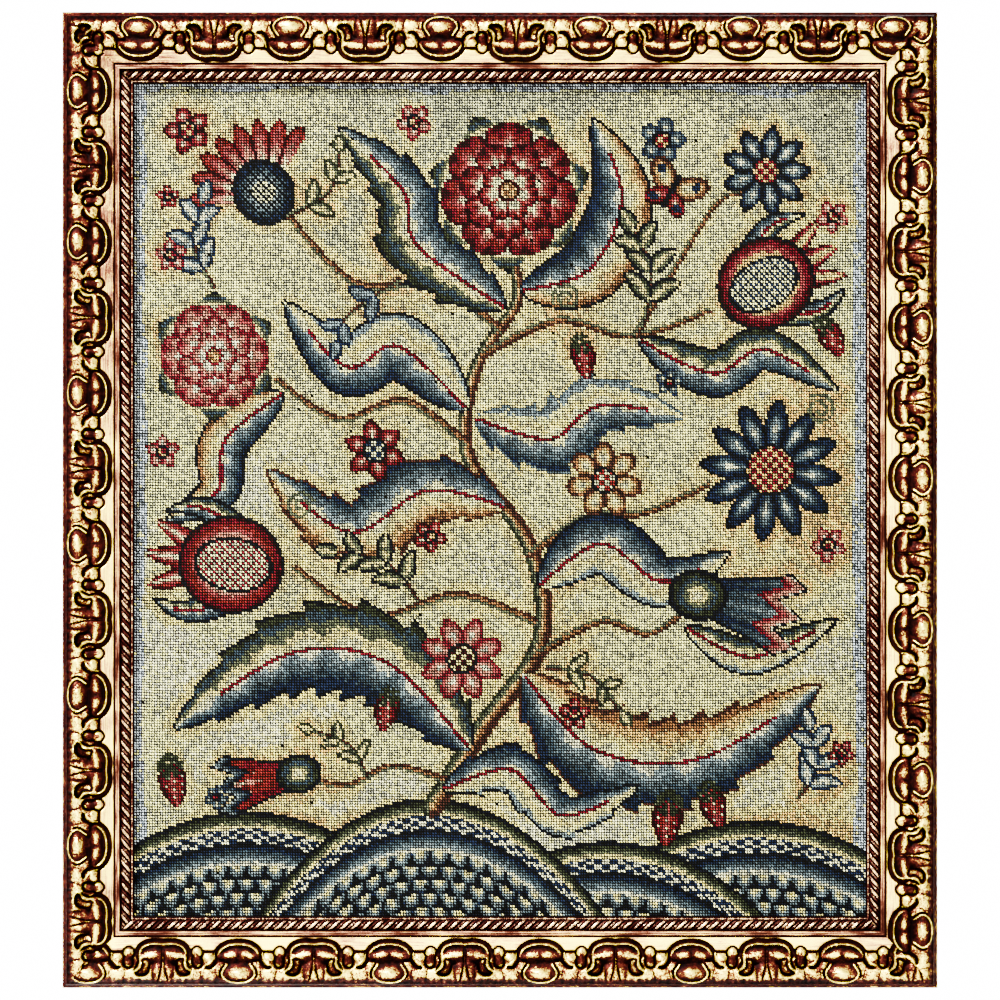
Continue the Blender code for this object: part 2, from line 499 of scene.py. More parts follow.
def rounded(points, closed, steps=8):
    """A smooth line through the points."""
    p = np.array(points, float)
    count = len(p)
    line = []
    for i in range(count if closed else count - 1):
        near = [(i + k) % count if closed else min(max(i + k, 0), count - 1) for k in (-1, 0, 1, 2)]
        a, b, c, d = p[near]
        for t in np.arange(steps) / steps:
            bend = 2 * a - 5 * b + 4 * c - d + t * (3 * b - a - 3 * c + d)
            line.append(b + 0.5 * t * (c - a + t * bend))
    return np.array(line if closed else line + [p[-1]])


def line_distance(across, inward, line, closed):
    """How far each place lies from a line, and for a closed one whether the line goes round it."""
    starts = line if closed else line[:-1]
    ends = np.roll(line, -1, axis=0) if closed else line[1:]
    nearest = np.full(across.shape, np.inf)
    held = np.zeros(across.shape, bool)
    for (x0, y0), (x1, y1) in zip(starts, ends):
        dx, dy = x1 - x0, y1 - y0
        t = np.clip(((across - x0) * dx + (inward - y0) * dy) / (dx * dx + dy * dy + 1e-12), 0, 1)
        nearest = np.minimum(nearest, np.hypot(across - x0 - t * dx, inward - y0 - t * dy))
        if closed and y0 != y1:
            held ^= ((y0 > inward) != (y1 > inward)) & (across < x0 + (inward - y0) * dx / dy)
    return nearest, held


def depth_inside(across, inward, outline):
    """Distance from the edge of a closed outline, negative outside it."""
    nearest, held = line_distance(across, inward, rounded(outline, True), True)
    return np.where(held, nearest, -nearest)


def both_halves(half):
    return half + [(-a, u) for a, u in reversed(half) if a > 0]


def soften(field, cells):
    """Blurs a field that goes on as its own reflection past each edge."""
    reach = int(3 * cells) + 1
    weights = np.exp(-0.5 * (np.arange(-reach, reach + 1) / cells) ** 2)
    weights /= weights.sum()
    for axis in (0, 1):
        margin = [(reach, reach) if axis == k else (0, 0) for k in (0, 1)]
        wide = np.pad(field, margin, mode="reflect")
        size = field.shape[axis]
        field = sum(w * np.take(wide, np.arange(k, k + size), axis=axis) for k, w in enumerate(weights))
    return field


def hump(x, centre, width):
    return np.exp(-(((x - centre) / width) ** 2))


def dome(a, u, centre, radii):
    return np.sqrt(np.clip(1 - ((a - centre[0]) / radii[0]) ** 2 - ((u - centre[1]) / radii[1]) ** 2, 0, 1))


class Relief:
    """The pressed surface: its height in mm above the wall, how bright the leaf on it is rubbed, with some
    painted highlights and painted shade, and how near each place is to a thin bright rim or dark cut, 1 on
    its line and 0 from LINE_REACH away."""

    def __init__(self, height, rubbed):
        self.height = height
        self.rubbed = rubbed
        self.rim = 0 * height
        self.cut = 0 * height

    def line(self, kind, distance, where=1.0):
        near = np.clip(1 - np.abs(distance) / LINE_REACH, 0, 1) * where
        setattr(self, kind, np.maximum(getattr(self, kind), near))

    def sink(self, amount, to, rubbed=0.0):
        """Presses the surface down to a level where amount is 1, and darkens it."""
        self.height = self.height + np.minimum(to - self.height, 0) * amount
        self.rubbed = self.rubbed + (rubbed - self.rubbed) * amount

    def swell(self, amount, rise, rubbed=None):
        """Raises the surface where amount is 1, and sets how it is rubbed there."""
        self.height = self.height + rise * amount
        if rubbed is not None:
            self.rubbed = self.rubbed + (rubbed - self.rubbed) * amount

    def cover(self, other, amount):
        for kind in ("height", "rubbed", "rim", "cut"):
            mine = getattr(self, kind)
            setattr(self, kind, mine + (getattr(other, kind) - mine) * amount)


def crescent(motif, a, u, depth, crest, half_width):
    """Gives the inner end of a motif a rounded ridge with a painted highlight on each side, a groove and a
    bright raised rim.
    """
    below = smooth(20.5, 23, u)
    motif.height += 2.6 * hump(u + 0.011 * a**2, crest, 2.4) * smooth(-0.3, 1.6, depth)
    motif.rubbed += (0.30 - motif.rubbed) * below
    # Two painted highlights on the ridge, one to each side of the middle, added to the rubbed leaf
    lit = hump(np.abs(a), half_width, half_width * 0.95) * hump(u + 0.010 * a**2, crest + 0.3, 2.3)
    motif.rubbed += 0.72 * lit
    motif.sink(0.7 * hump(depth, 2.9, 1.0) * smooth(24.5, 26.5, u), 26.6, 0.26)
    motif.swell(hump(depth, 0.85, 0.40) * smooth(20.5, 24.5, u), 1.5, 0.95)
    motif.line("rim", depth - 1.0, smooth(22.0, 25.5, u))


def ornament(step=0.25):
    """Heights in mm over half a repeat, from a shell's middle to a scroll's, and how the leaf is rubbed, with
    some painted highlights and painted shade.
    """
    half = REPEAT / 2
    rows = np.arange(BAND_OUTER, BAND_INNER + step / 2, step)
    columns = np.linspace(0, half, round(half / step) + 1)
    a, u = np.meshgrid(columns, rows)
    b = half - a
    cove = 0.42 * np.sin(np.pi * np.clip((BAND_INNER - u) / 10.5, 0, 1))
    frieze = FRIEZE_HEIGHT / MM + 0.29 * (BAND_INNER - u) - cove

    # The lobed leaf, its edge in uneven scallops over the plain hollow
    swing = 0.9 * np.sin(a * 0.53) + 0.5 * np.sin(a * 1.31 + 1)
    edge = 0.5 * np.sin(a * 1.25 + 0.6) + 0.35 * np.sin(a * 2.1)
    leaf = np.interp(u - 0.5 * edge, [3.5, 4.8, 6.2, 8, 11, 14, 18, 22, 25],
                     [25.9, 27.0, 29.8, 32.2, 33.0, 32.2, 30.4, 29.2, 28.6])
    lobe = (a - 4.4 - 0.22 * (u - 8) + 0.5 * swing) / 10.6
    flute = np.abs(np.sin(np.pi * lobe)) ** 0.4
    fluting = smooth(4.6, 6.5, u) * (1 - smooth(13, 19, u))
    leaf -= (1 - flute) * 1.5 * fluting
    rubbed = np.interp(u - edge, [3.5, 5.6, 6.6, 7.6, 9.2, 12, 16, 20, 25],
                       [0.42, 0.42, 0.54, 0.76, 0.93, 0.94, 0.80, 0.66, 0.74])
    rubbed -= 0.42 * (1 - flute) ** 1.2 * fluting
    face = Relief(leaf, rubbed)
    furrow = np.abs(lobe - np.round(lobe)) * 10.6 + 0.55
    face.line("cut", furrow, smooth(5.5, 7.5, u) * (1 - smooth(12.5, 14.5, u)))
    for centre, radii, rise, shine in (
        ((20.4, 20.2), (3.0, 3.2), 1.2, 0.62), ((21.4, 23.0), (5.0, 3.2), 1.3, 0.96),
        ((36.4, 20.0), (2.6, 5.2), 1.5, 0.95), ((6.4, 17.0), (2.2, 3.6), 0.8, 0.62),
    ):
        bulge = dome(a, u, centre, radii)
        face.swell(np.clip(bulge * 1.4, 0, 1), rise, shine)
    face.cover(Relief(frieze, 0.86 + 0 * u), smooth(LEAF_FOOT - 0.2, LEAF_FOOT + 0.5, u))

    # The line under the leaves, the hooked channels with a lit edge, and the bud between them
    foot = smooth(14, 16, a) * (1 - smooth(36.5, 38, a))
    face.sink(hump(u, 25.9, 0.85) * foot, 24.4, 0.0)
    face.line("cut", u - 25.9, foot)
    for points, reach, floor in ((HOOK, 1.0, 24.6), (FALL, 0.75, 24.6), (ARM, 0.7, 25.0)):
        gap, _ = line_distance(a, u, rounded(points, False), False)
        face.sink(1 - smooth(reach - 0.5, reach + 0.4, gap), floor, 0.0)
        face.line("cut", np.maximum(gap - (reach - 0.7), 0))
    gap, _ = line_distance(a, u, rounded(HOOK_LIGHT, False), False)
    face.swell(hump(gap, 0, 0.5), 0.8, 0.95)
    face.cut = face.cut * smooth(0.3, 1.0, gap)
    face.line("rim", gap)
    bud = depth_inside(a, u, BUD)
    face.sink(smooth(-1.7, -1.1, bud) * (1 - smooth(-0.2, 0.1, bud)), 24.8, 0.0)
    round_it = smooth(-2.2, -1.6, bud) * (1 - smooth(-0.1, 0.2, bud))
    face.line("cut", np.maximum(np.abs(bud + 0.65) - 0.1, 0), round_it)
    core = Relief(
        28.0 + 1.9 * np.clip(bud / 2.4, 0, 1) ** 0.7 - 0.08 * (u - 16),
        np.interp(u, [15, 18, 21, 24, 26, 29], [0.70, 0.52, 0.40, 0.62, 0.92, 0.95]) + 0 * a,
    )
    core.line("rim", bud - 0.75, smooth(17.5, 15.5, u) + smooth(23.0, 24.5, u) + 0.8 * (a < 28.4))
    face.cover(core, smooth(-0.15, 0.25, bud))

    # The split scroll: a cleft column over a wide foot, with a hollow eye on each side
    eye = depth_inside(b, u, EYE)
    eye_floor = 24.6 + 4.6 * smooth(9.5, 17, b) * smooth(9, 14, u)
    eye_floor += 3.2 * smooth(15, 21.5, u) + 1.5 * smooth(0.8, 2.4, eye)
    eye_rub = 0.02 + 0.62 * smooth(1.0, 2.3, eye) + 0.25 * smooth(15, 20, u) * smooth(1, 2, eye)
    face.swell(hump(eye, -0.75, 0.45), 0.9, 1.0)
    face.line("rim", eye + 0.7, smooth(11.5, 13.0, b))
    scroll = depth_inside(b, u, both_halves(SCROLL))
    column = Relief(np.interp(u, [5, 7, 10, 15, 19, 32], [27.5, 31.0, 32.3, 31.4, 28.9, 28.2]),
                    np.interp(u, [5, 7, 12, 16, 20, 22], [0.45, 0.74, 0.78, 0.60, 0.46, 0.4]) + 0 * b)
    column.height -= 0.045 * np.minimum(b, 9) ** 2 * (1 - smooth(18, 22, u))
    column.rubbed -= 0.32 * smooth(3.5, 8, b) * (1 - smooth(18, 22, u))
    crescent(column, b, u, scroll, 24.2, 8.0)
    splay = 2.7 * np.clip(1 - (u - 6) / 11, 0, 1) + 0.65
    column.sink(hump(b, splay, 0.5) * (1 - smooth(27, 29, u)), 27.2, 0.0)
    column.swell(hump(b, 0, 0.35) * (1 - smooth(26, 28, u)), 0.6, 0.95)
    column.line("cut", np.abs(b - splay) + 0.45, 1 - smooth(25.5, 27, u))
    column.line("rim", np.abs(b) + 0.25, 1 - smooth(19, 25, u))
    face.cover(column, smooth(0, 0.35, scroll))
    face.cover(Relief(eye_floor, eye_rub), smooth(-0.15, 0.45, eye) * (scroll < 1.2))

    # The shell: a boss in a rolled rim, narrowed to a neck over its crescent foot
    shell = depth_inside(a, u, both_halves(SHELL))
    # The cap's leaf is brighter on the boss and darker down to the neck: partly wear on the high places,
    # partly a painted highlight on the boss and painted shade beneath it
    cap = Relief(np.interp(u, [3, 5, 12, 18.5, 21, 32], [29.0, 30.0, 30.0, 26.8, 27.6, 28.2]),
                 np.interp(u, [4, 6, 9, 14, 17, 21], [0.34, 0.36, 0.46, 0.38, 0.27, 0.26]) + 0 * a)
    boss = np.exp(-1.4 * ((a / 6.8) ** 2 + ((u - 11.0) / 4.6) ** 2) ** 1.3)
    cap.height += 3.4 * boss
    cap.rubbed += 0.72 * np.exp(-((a / 6.0) ** 2) - ((u - 11.4) / 4.0) ** 2) - 0.16 * hump(u, 6.6, 1.0)
    cap.swell(hump(shell, 0.85, 0.40) * (1 - smooth(17, 19, u)), 1.4, 1.0)
    cap.line("rim", shell - 0.9, 1 - smooth(17, 19, u))
    cap.sink(0.6 * hump(shell, 2.2, 0.7) * (1 - smooth(11, 16, u)), 29.0, 0.28)
    crescent(cap, a, u, shell, 23.8, 5.6)
    cap.sink(0.8 * hump(a, 0, 0.9) * hump(u, 23, 2.4), 28.4, 0.22)
    face.cover(cap, smooth(0, 0.35, shell))

    # Undercut along both feet and beside the shell
    for outline in (shell, scroll):
        under = smooth(-2.9, -2.3, outline) * (1 - smooth(-0.25, 0.1, outline)) * smooth(21.5, 25.0, u)
        face.sink(under, 23.8, 0.0)
        below = smooth(21.5, 25.0, u) * (outline < 0.05)
        face.line("cut", np.maximum(np.abs(outline + 1.25) - 0.75, 0), below)
    beside = smooth(-1.5, -0.8, shell) * (1 - smooth(-0.2, 0.1, shell)) * (1 - smooth(19, 21, u))
    face.sink(beside * smooth(6.5, 9, u), 27.0, 0.05)
    neck = smooth(6.0, 8.5, u) * (1 - smooth(19, 21, u)) * (shell < 0.05)
    face.line("cut", np.abs(shell + 0.6) + 0.1, neck)

    height = soften(face.height, 0.28 / step)
    low_places = np.clip((soften(height, 1.6 / step) - height) / 2.0, 0, 1)
    rubbed = np.clip(soften(face.rubbed, 0.18 / step) - 0.35 * low_places, 0, 1)
    cut = face.cut * (1 - 0.9 * smooth(0.55, 0.8, face.rim))
    return height, {"rubbed": rubbed, "rim": face.rim, "cut": cut}


def read_field(field, a, u, half_width, first, last):
    """The field's value at each place, read between its cells."""
    rows, columns = field.shape
    x = np.clip(a / half_width, 0, 1) * (columns - 1)
    y = np.clip((u - first) / (last - first), 0, 1) * (rows - 1)
    i = np.minimum(y.astype(int), rows - 2)
    j = np.minimum(x.astype(int), columns - 2)
    fx, fy = x - j, y - i
    upper = field[i, j] * (1 - fx) + field[i, j + 1] * fx
    lower = field[i + 1, j] * (1 - fx) + field[i + 1, j + 1] * fx
    return upper * (1 - fy) + lower * fy


def strip(name, rail, inner, outer, rows, spacing, underside, shape, finish):
    """A strip along a rail: a grid whose heights shape gives, with straight sides down to underside."""
    side, length, across, turn, shell_at = rail
    carry = rail_place(across, turn)
    columns = int((length - outer - inner) / spacing)
    bpy.ops.object.select_all(action="DESELECT")
    bpy.ops.mesh.primitive_grid_add(x_subdivisions=columns, y_subdivisions=rows, size=1)
    piece = bpy.context.object
    piece.name = name + "_" + side
    across_share, up_share, _ = vertices_of(piece).T + 0.5
    inward = inner - (inner - outer) * up_share
    along = (across_share * 2 - 1) * (length / 2 - inward - JOINT_SET_BACK)
    height, values = shape(side, along, inward, shell_at)
    put_vertices(piece, carry(along, inward, height))
    in_edit_mode(piece, close_under())
    points = vertices_of(piece)
    total = len(points)
    points[len(along):, 1] = -underside
    rim_of = np.full(total, -1)
    rim_of[: len(along)] = np.arange(len(along))
    for edge in piece.data.edges:
        first, second = edge.vertices
        if (first < len(along)) != (second < len(along)):
            rim_of[max(first, second)] = min(first, second)
    put_vertices(piece, points)
    map_rail(piece, along[rim_of], inward[rim_of])
    for key, value in values.items():
        set_values(piece, key, value[rim_of] * (np.arange(total) < len(along)))
    in_edit_mode(piece, face_outwards)
    bpy.ops.object.shade_smooth_by_angle(angle=math.radians(60))
    piece.data.materials.append(finish)
    finish_piece(piece, "gilded_moulding", "rail_" + side)


BAND_HEIGHT, BAND_VALUES = ornament()
ALL_ALONG = {"top": 0.03, "right": 0.03, "bottom": 0.02, "left": -0.03}


def worn(side, along):
    """How much of the leaf is gone along a rail: most at the upper left corner, some at the upper right."""
    gone = ALL_ALONG[side] + 0 * along
    if side == "left":
        gone += 0.09 + 0.17 * smooth(-120, 338, along)
    if side == "top":
        gone += 0.26 * smooth(-180, -303, along) + 0.10 * smooth(150, 303, along)
    if side == "right":
        gone += 0.10 * smooth(-60, -338, along)
    return gone


def band_shape(side, along, inward, shell_at):
    """Repeats the pressed pattern along the rail, each half the mirror of the last."""
    place = np.abs((along - shell_at) / MM / REPEAT % 1 * 2 - 1)
    a = (1 - place) * REPEAT / 2
    edges = (REPEAT / 2, BAND_OUTER, BAND_INNER)
    height = read_field(BAND_HEIGHT, a, inward / MM, *edges) * MM
    values = {}
    for name, field in BAND_VALUES.items():
        values[name] = read_field(field, a, inward / MM, *edges)
    values["rubbed"] -= worn(side, along / MM) * (0.4 + 0.6 * (inward > 26 * MM))
    # The same painted light and shade on the outer edge of the ornament
    values["rubbed"] += HOLLOW_PAINTED_LIGHT[side] * smooth(9 * MM, 5 * MM, inward)
    values["plain"] = smooth(25.6, 26.4, inward / MM) * (height < 28.6 * MM)
    values["plain"] *= smooth(0.5, 0.8, values["rubbed"])
    return height, values


for rail in RAILS:
    strip("ornament", rail, BAND_INNER * MM, BAND_OUTER * MM, 45, 0.7 * MM,
          BAND_SEAT + 0.2 * MM, band_shape, GILT)


# Rope. A twisted rope of composition lies in its own seat beside the sight edge: each turn is one broad
# strand and one thin one, and it is gilded with the rest.
ROPE_RISE = 3.9 * MM


def rope_shape(side, along, inward, shell_at):
    across = np.clip((inward - ROPE_CENTRE) / ROPE_HALF_WIDTH, -1, 1)
    section = np.sqrt(np.clip(1 - 0.98 * across**2, 0, 1))
    turn = (along + ROPE_SLOPE * inward + ROPE_CURL * across**3) / ROPE_PITCH % 1
    strand = np.zeros_like(along)
    for (centre, half), rise in ((BROAD_STRAND, 1.0), (THIN_STRAND, 0.8)):
        strand = np.maximum(strand, rise * np.sqrt(np.clip(1 - ((turn - centre) / half) ** 2, 0, 1)))
    height = ROPE_SEAT + ROPE_RISE * (0.45 + 0.55 * strand) * section + 0.4 * MM
    # The leaf is brighter along the rope's top and darker down its sides: partly wear on the high places,
    # partly painted shade
    return height, {"rubbed": np.clip(0.80 * section + 0.10, 0, 1)}


for rail in RAILS:
    strip("rope", rail, ROPE_CENTRE + ROPE_HALF_WIDTH, ROPE_CENTRE - ROPE_HALF_WIDTH, 9, 0.6 * MM,
          ROPE_SEAT + 0.2 * MM, rope_shape, ROPE_GILT)


# Design. A flowering tree on patterned hillocks, in shaded crewel wools, on a ground of faded khaki. It is
# laid stitch by stitch, 277 across and 305 down, by shapes given in millimetres from the panel's middle.
STITCH_WIDE = 1.83 * MM
STITCH_HIGH = 1.89 * MM
YARNS = {
    "khaki": (0.64, 0.63, 0.10),
    "straw": (0.74, 0.72, 0.09),
    "stone": (0.35, 0.36, 0.12),
    "bone": (0.74, 0.74, 0.26),
    "wheat": (0.76, 0.58, 0.04),
    "honey": (0.56, 0.32, 0.02),
    "amber": (0.13, 0.046, 0.008),
    "frost": (0.32, 0.39, 0.42),
    "pewter": (0.055, 0.070, 0.085),
    "ink": (0.0012, 0.0014, 0.0028),
    "navy": (0.0024, 0.0044, 0.0125),
    "teal": (0.0085, 0.0165, 0.0230),
    "slate": (0.026, 0.044, 0.050),
    "mist": (0.085, 0.135, 0.135),
    "cream": (0.74, 0.71, 0.14),
    "moss": (0.0075, 0.0100, 0.0036),
    "sage": (0.038, 0.047, 0.017),
    "wine": (0.0080, 0.0005, 0.0011),
    "crimson": (0.048, 0.0008, 0.0038),
    "scarlet": (0.080, 0.0035, 0.0036),
    "rose": (0.14, 0.014, 0.015),
    "blush": (0.36, 0.115, 0.060),
    "bark": (0.016, 0.0046, 0.0030),
}
NAMES = list(YARNS)
BLUE = ("ink", "navy", "teal", "slate", "mist", "cream")
DEEP_BLUE = ("ink", "navy", "navy", "teal", "slate", "mist", "bone")
GREEN = ("ink", "moss", "teal", "sage", "wheat", "cream")
GOLD = ("bark", "amber", "honey", "wheat", "cream")
PALE = ("slate", "mist", "straw", "wheat", "cream")
RED = ("wine", "crimson", "scarlet", "rose", "blush", "cream")
PINK = ("crimson", "rose", "blush", "blush", "bone")
SIGHT_WIDTH = OUTER_WIDTH - 2 * MOULDING_WIDTH
SIGHT_HEIGHT = OUTER_HEIGHT - 2 * MOULDING_WIDTH
across_count = math.ceil(SIGHT_WIDTH / STITCH_WIDE)
down_count = math.ceil(SIGHT_HEIGHT / STITCH_HIGH)
dice = np.random.default_rng(17)

column, row = np.meshgrid(np.arange(across_count), np.arange(down_count))
X = (column - (across_count - 1) / 2) * STITCH_WIDE / MM
Z = (row - (down_count - 1) / 2) * STITCH_HIGH / MM
yarn = np.full(X.shape, NAMES.index("khaki"))
worked = np.zeros(X.shape, bool)
uneven = dice.normal(0, 1, X.shape)


def clouds(size_x, size_z):
    """Smooth random patches between 0 and 1, of about the size given in mm."""
    cells_x = int(2 * abs(X).max() / size_x) + 3
    cells_z = int(2 * abs(Z).max() / size_z) + 3
    grid = dice.random((cells_z, cells_x))
    i = (Z - Z.min()) / size_z
    j = (X - X.min()) / size_x
    i0, j0 = i.astype(int), j.astype(int)
    fi, fj = smooth(0, 1, i - i0), smooth(0, 1, j - j0)
    near = grid[i0, j0] * (1 - fj) + grid[i0, j0 + 1] * fj
    far = grid[i0 + 1, j0] * (1 - fj) + grid[i0 + 1, j0 + 1] * fj
    return near * (1 - fi) + far * fi


def lay(where, name):
    yarn[where] = NAMES.index(name)
    worked[where] = True


def shade(where, depth, names, power=1.0):
    """Lays bands of yarn from the edge, where depth is 0, to the heart, where it is 1."""
    level = np.clip(depth, 0, 0.999) ** power * len(names) + 0.16 * uneven
    level = np.clip(level, 0, len(names) - 1).astype(int)
    for k, name in enumerate(names):
        lay(where & (level == k), name)


def along_curve(points, steps=12):
    """For every stitch: its place along a smooth line from 0 to 1, and its distance to the line's left."""
    line = rounded(points, False, steps)
    lengths = np.concatenate([[0], np.cumsum(np.hypot(*np.diff(line, axis=0).T))])
    nearest = np.full(X.shape, np.inf)
    place = np.zeros(X.shape)
    offset = np.zeros(X.shape)
    for k, ((x0, z0), (x1, z1)) in enumerate(zip(line[:-1], line[1:])):
        dx, dz = x1 - x0, z1 - z0
        size = math.hypot(dx, dz) + 1e-9
        t = np.clip(((X - x0) * dx + (Z - z0) * dz) / size**2, 0, 1)
        gap = np.hypot(X - x0 - t * dx, Z - z0 - t * dz)
        closer = gap < nearest
        nearest = np.where(closer, gap, nearest)
        place = np.where(closer, (lengths[k] + t * size) / lengths[-1], place)
        turn = np.sign((Z - z0) * dx - (X - x0) * dz)
        offset = np.where(closer, turn * gap, offset)
    return place, offset


def stem(points, thick, thin, names=("bark", "amber", "sage")):
    """A stalk that narrows from thick to thin, with one lit side."""
    place, offset = along_curve(points)
    half = (thick + (thin - thick) * place) / 2
    held = (abs(offset) < half) & (place < 1)
    shade(held, 0.5 + 0.5 * offset / half, names)


def leaf(points, width, left=BLUE, right=GOLD, teeth=0, vein="crimson"):
    """A long leaf on a curved rib: two sides shaded from edge to rib, side veins, toothed or plain."""
    place, offset = along_curve(points)
    half = width / 2 * np.sin(np.pi * np.clip(place, 0, 1) ** 0.8) ** 0.7
    if teeth:
        half *= 0.86 + 0.26 * ((place * teeth) % 1) ** 1.5
    held = (abs(offset) < half) & (place > 0) & (place < 1)
    depth = 1 - abs(offset) / np.maximum(half, 1e-6)
    ribs = np.abs((place * (teeth or 8) - 0.9 * abs(offset) / width) % 1 - 0.5) * 2
    depth = depth * (0.72 + 0.40 * ribs) + 0.03
    shade(held & (offset > 0), depth, left, 0.80)
    shade(held & (offset <= 0), depth, right, 0.70)
    edge = held & (half - abs(offset) < 1.8)
    lay(edge, left[0])
    if vein:
        lay((abs(offset) < 1.2) & (place > 0.01) & (place < 0.84), vein)


def polar(x, z, turn=0.0):
    """Distance and angle of every stitch about a point, the angle counted from turn."""
    radius = np.hypot(X - x, Z - z)
    angle = (np.arctan2(Z - z, X - x) - math.radians(turn)) % (2 * np.pi)
    return radius, angle


def turned(x, z, turn):
    """Coordinates of every stitch about a point: along the direction turn, and to its left."""
    c, s = math.cos(math.radians(turn)), math.sin(math.radians(turn))
    return (X - x) * c + (Z - z) * s, (Z - z) * c - (X - x) * s


def heart(x, z, radius, first="honey", second="crimson", edge="ink"):
    """A round flower centre worked in squares of two colours."""
    gap, _ = polar(x, z)
    lay(gap < radius, first)
    lay((gap < radius - 1.6) & ((column // 2 + row // 2) % 2 == 0), second)
    lay((gap < radius) & (gap > radius - 1.8), edge)


def daisy(x, z, radius, petals, names, centre=0.3, turn=0.0, sharp=1.0, colours=("honey", "crimson")):
    """Pointed petals round a chequered centre, each shaded from its outline to its middle."""
    gap, angle = polar(x, z, turn)
    wedge = angle * petals / (2 * np.pi) % 1 * 2 - 1
    reach = radius * (0.62 + 0.38 * (1 - abs(wedge) ** (1.5 * sharp)))
    side = (1 - abs(wedge)) * gap / radius * 1.9
    depth = np.minimum(np.clip(side, 0, 1), np.clip((reach - gap) / (0.42 * radius), 0, 1))
    shade(gap < reach, depth, names)
    heart(x, z, radius * centre, *colours)


def rosette(x, z, radius, petals, names, turn=0.0, rings=3):
    """A full-blown flower: rings of round petals, dark at the rim and light within, over sepals."""
    gap, angle = polar(x, z, turn + 180 / petals)
    wedge = angle * petals / (2 * np.pi) % 1 * 2 - 1
    shade(gap < radius * (1.2 - 0.35 * abs(wedge)), (1.2 - gap / radius) * 3, GREEN)
    for k in range(rings):
        size = radius * (1 - 0.28 * k)
        gap, angle = polar(x, z, turn + 180 * k / petals)
        wedge = angle * petals / (2 * np.pi) % 1 * 2 - 1
        reach = size * (0.80 + 0.20 * np.sqrt(np.clip(1 - wedge**2, 0, 1)))
        depth = np.clip((reach - gap) / (0.42 * size), 0, 1) * (1 - 0.45 * abs(wedge) ** 4)
        fold = 0.18 * np.cos(wedge * 9) * (gap / size)
        shade(gap < reach, depth + fold, names, 0.9)
    heart(x, z, radius * 0.16, "honey", "amber", names[0])


def pomegranate(x, z, size, turn, husk=RED, seeds=("cream", "crimson")):
    """A round fruit with a netted window, in a shaded husk with a crown of three points and leaves behind."""
    for lean in (-62, 62):
        far = math.radians(turn + lean)
        leaf([(x - size * math.cos(math.radians(turn)), z - size * math.sin(math.radians(turn))),
              (x + 1.15 * size * math.cos(far), z + 1.15 * size * math.sin(far)),
              (x + 1.75 * size * math.cos(far - math.radians(lean) * 0.5),
               z + 1.75 * size * math.sin(far - math.radians(lean) * 0.5))], size * 0.62, BLUE, GREEN)
    ahead, left = turned(x, z, turn)
    for side in (-1, 0, 1):
        across = left - side * (0.30 + 0.42 * (ahead / size - 0.8)) * size
        half = 0.30 * size * np.sqrt(np.clip((1.75 * size - 0.12 * size * abs(side) - ahead) / size, 0, 1))
        held = (ahead > 0.75 * size) & (abs(across) < half)
        shade(held, 1 - abs(across) / np.maximum(half, 1e-6), husk)
    rim = np.hypot(ahead / 1.08, left) / size
    shade(rim < 1, (1 - rim) * 1.9, husk)
    lay((rim < 1) & (rim > 0.95), "ink")
    window = np.hypot((ahead + 0.05 * size) / 0.74, left / 0.50) / size
    lay(window < 1.10, "ink")
    lay(window < 1, seeds[0])
    lay((window < 1) & (((column + row) % 4 == 0) | ((column - row) % 4 == 0)), seeds[1])


def bell(x, z, length, width, turn, names=BLUE, lip=RED):
    """A bell flower: a striped cup that opens to pointed lobes, in a green cap."""
    ahead, left = turned(x, z, turn)
    share = ahead / length
    half = width / 2 * (0.42 + 0.58 * np.clip(share, 0, 1) ** 1.5)
    lobe = np.abs((left / width * 3.2 + 0.5) % 1 * 2 - 1)
    edge = 1.06 - 0.26 * lobe
    held = (share > 0) & (share < edge) & (abs(left) < half)
    within = 1 - abs(left) / np.maximum(half, 1e-6)
    stripe = 1 - np.abs((left / np.maximum(half, 1e-6) * 2.5 + 0.5) % 1 * 2 - 1)
    shade(held, 0.12 + 0.35 * within + 0.5 * stripe * share, names)
    band = held & (share > edge - 0.24)
    shade(band, (share - edge + 0.24) / 0.24, lip)
    lay(held & ((edge - share < 1.9 / length) | (half - abs(left) < 1.8)), "ink")
    cap = np.hypot((ahead + 0.02 * length) / 1.2, left) / (0.27 * width)
    shade(cap < 1, 1 - cap, GREEN)


def fan(x, z, size, turn, names=PINK, cup=GREEN):
    """A thistle head: a scaled cup with a spread of fine rays."""
    gap, angle = polar(x, z, turn)
    angle = np.where(angle > np.pi, angle - 2 * np.pi, angle)
    ray = np.abs(np.sin(angle * 11))
    reach = size * (0.80 + 0.20 * ray)
    rays = (abs(angle) < 1.1) & (gap < reach)
    shade(rays, 0.15 + 0.85 * np.clip(1 - gap / reach, 0, 1) * 1.2 + 0.25 * ray, names)
    lay(rays & (ray < 0.25) & (gap > 0.45 * size), names[0])
    lay(rays & (reach - gap < 1.8), "wine")
    ahead, left = turned(x, z, turn)
    scales = np.hypot((ahead - 0.10 * size) / 0.42, left / 0.38) / size
    shade(scales < 1, (1 - scales) * 1.3, cup)
    lay((scales < 0.9) & (((column + row) % 4 == 0) | ((column - row) % 4 == 0)), cup[0])


def berry(x, z, size, turn, names=("wine", "crimson", "scarlet", "rose")):
    """A strawberry with pale seeds and a green cap."""
    ahead, left = turned(x, z, turn)
    half = size * 0.66 * np.sqrt(np.clip(1 - ((ahead - 0.1 * size) / size) ** 2, 0, 1))
    half *= 1 - 0.32 * ahead / size
    held = abs(left) < half
    shade(held, 1 - abs(left) / np.maximum(half, 1e-6), names)
    lay(held & (column % 3 == 0) & ((row + column // 3) % 3 == 0) & (half - abs(left) > 2.5), "cream")
    cap = np.abs(np.sin(np.arctan2(left, ahead + size) * 4)) > 0.3
    shade(cap & (np.hypot(ahead + 0.8 * size, left) < 0.6 * size), 0.4 + 0 * left, ("moss", "sage"))


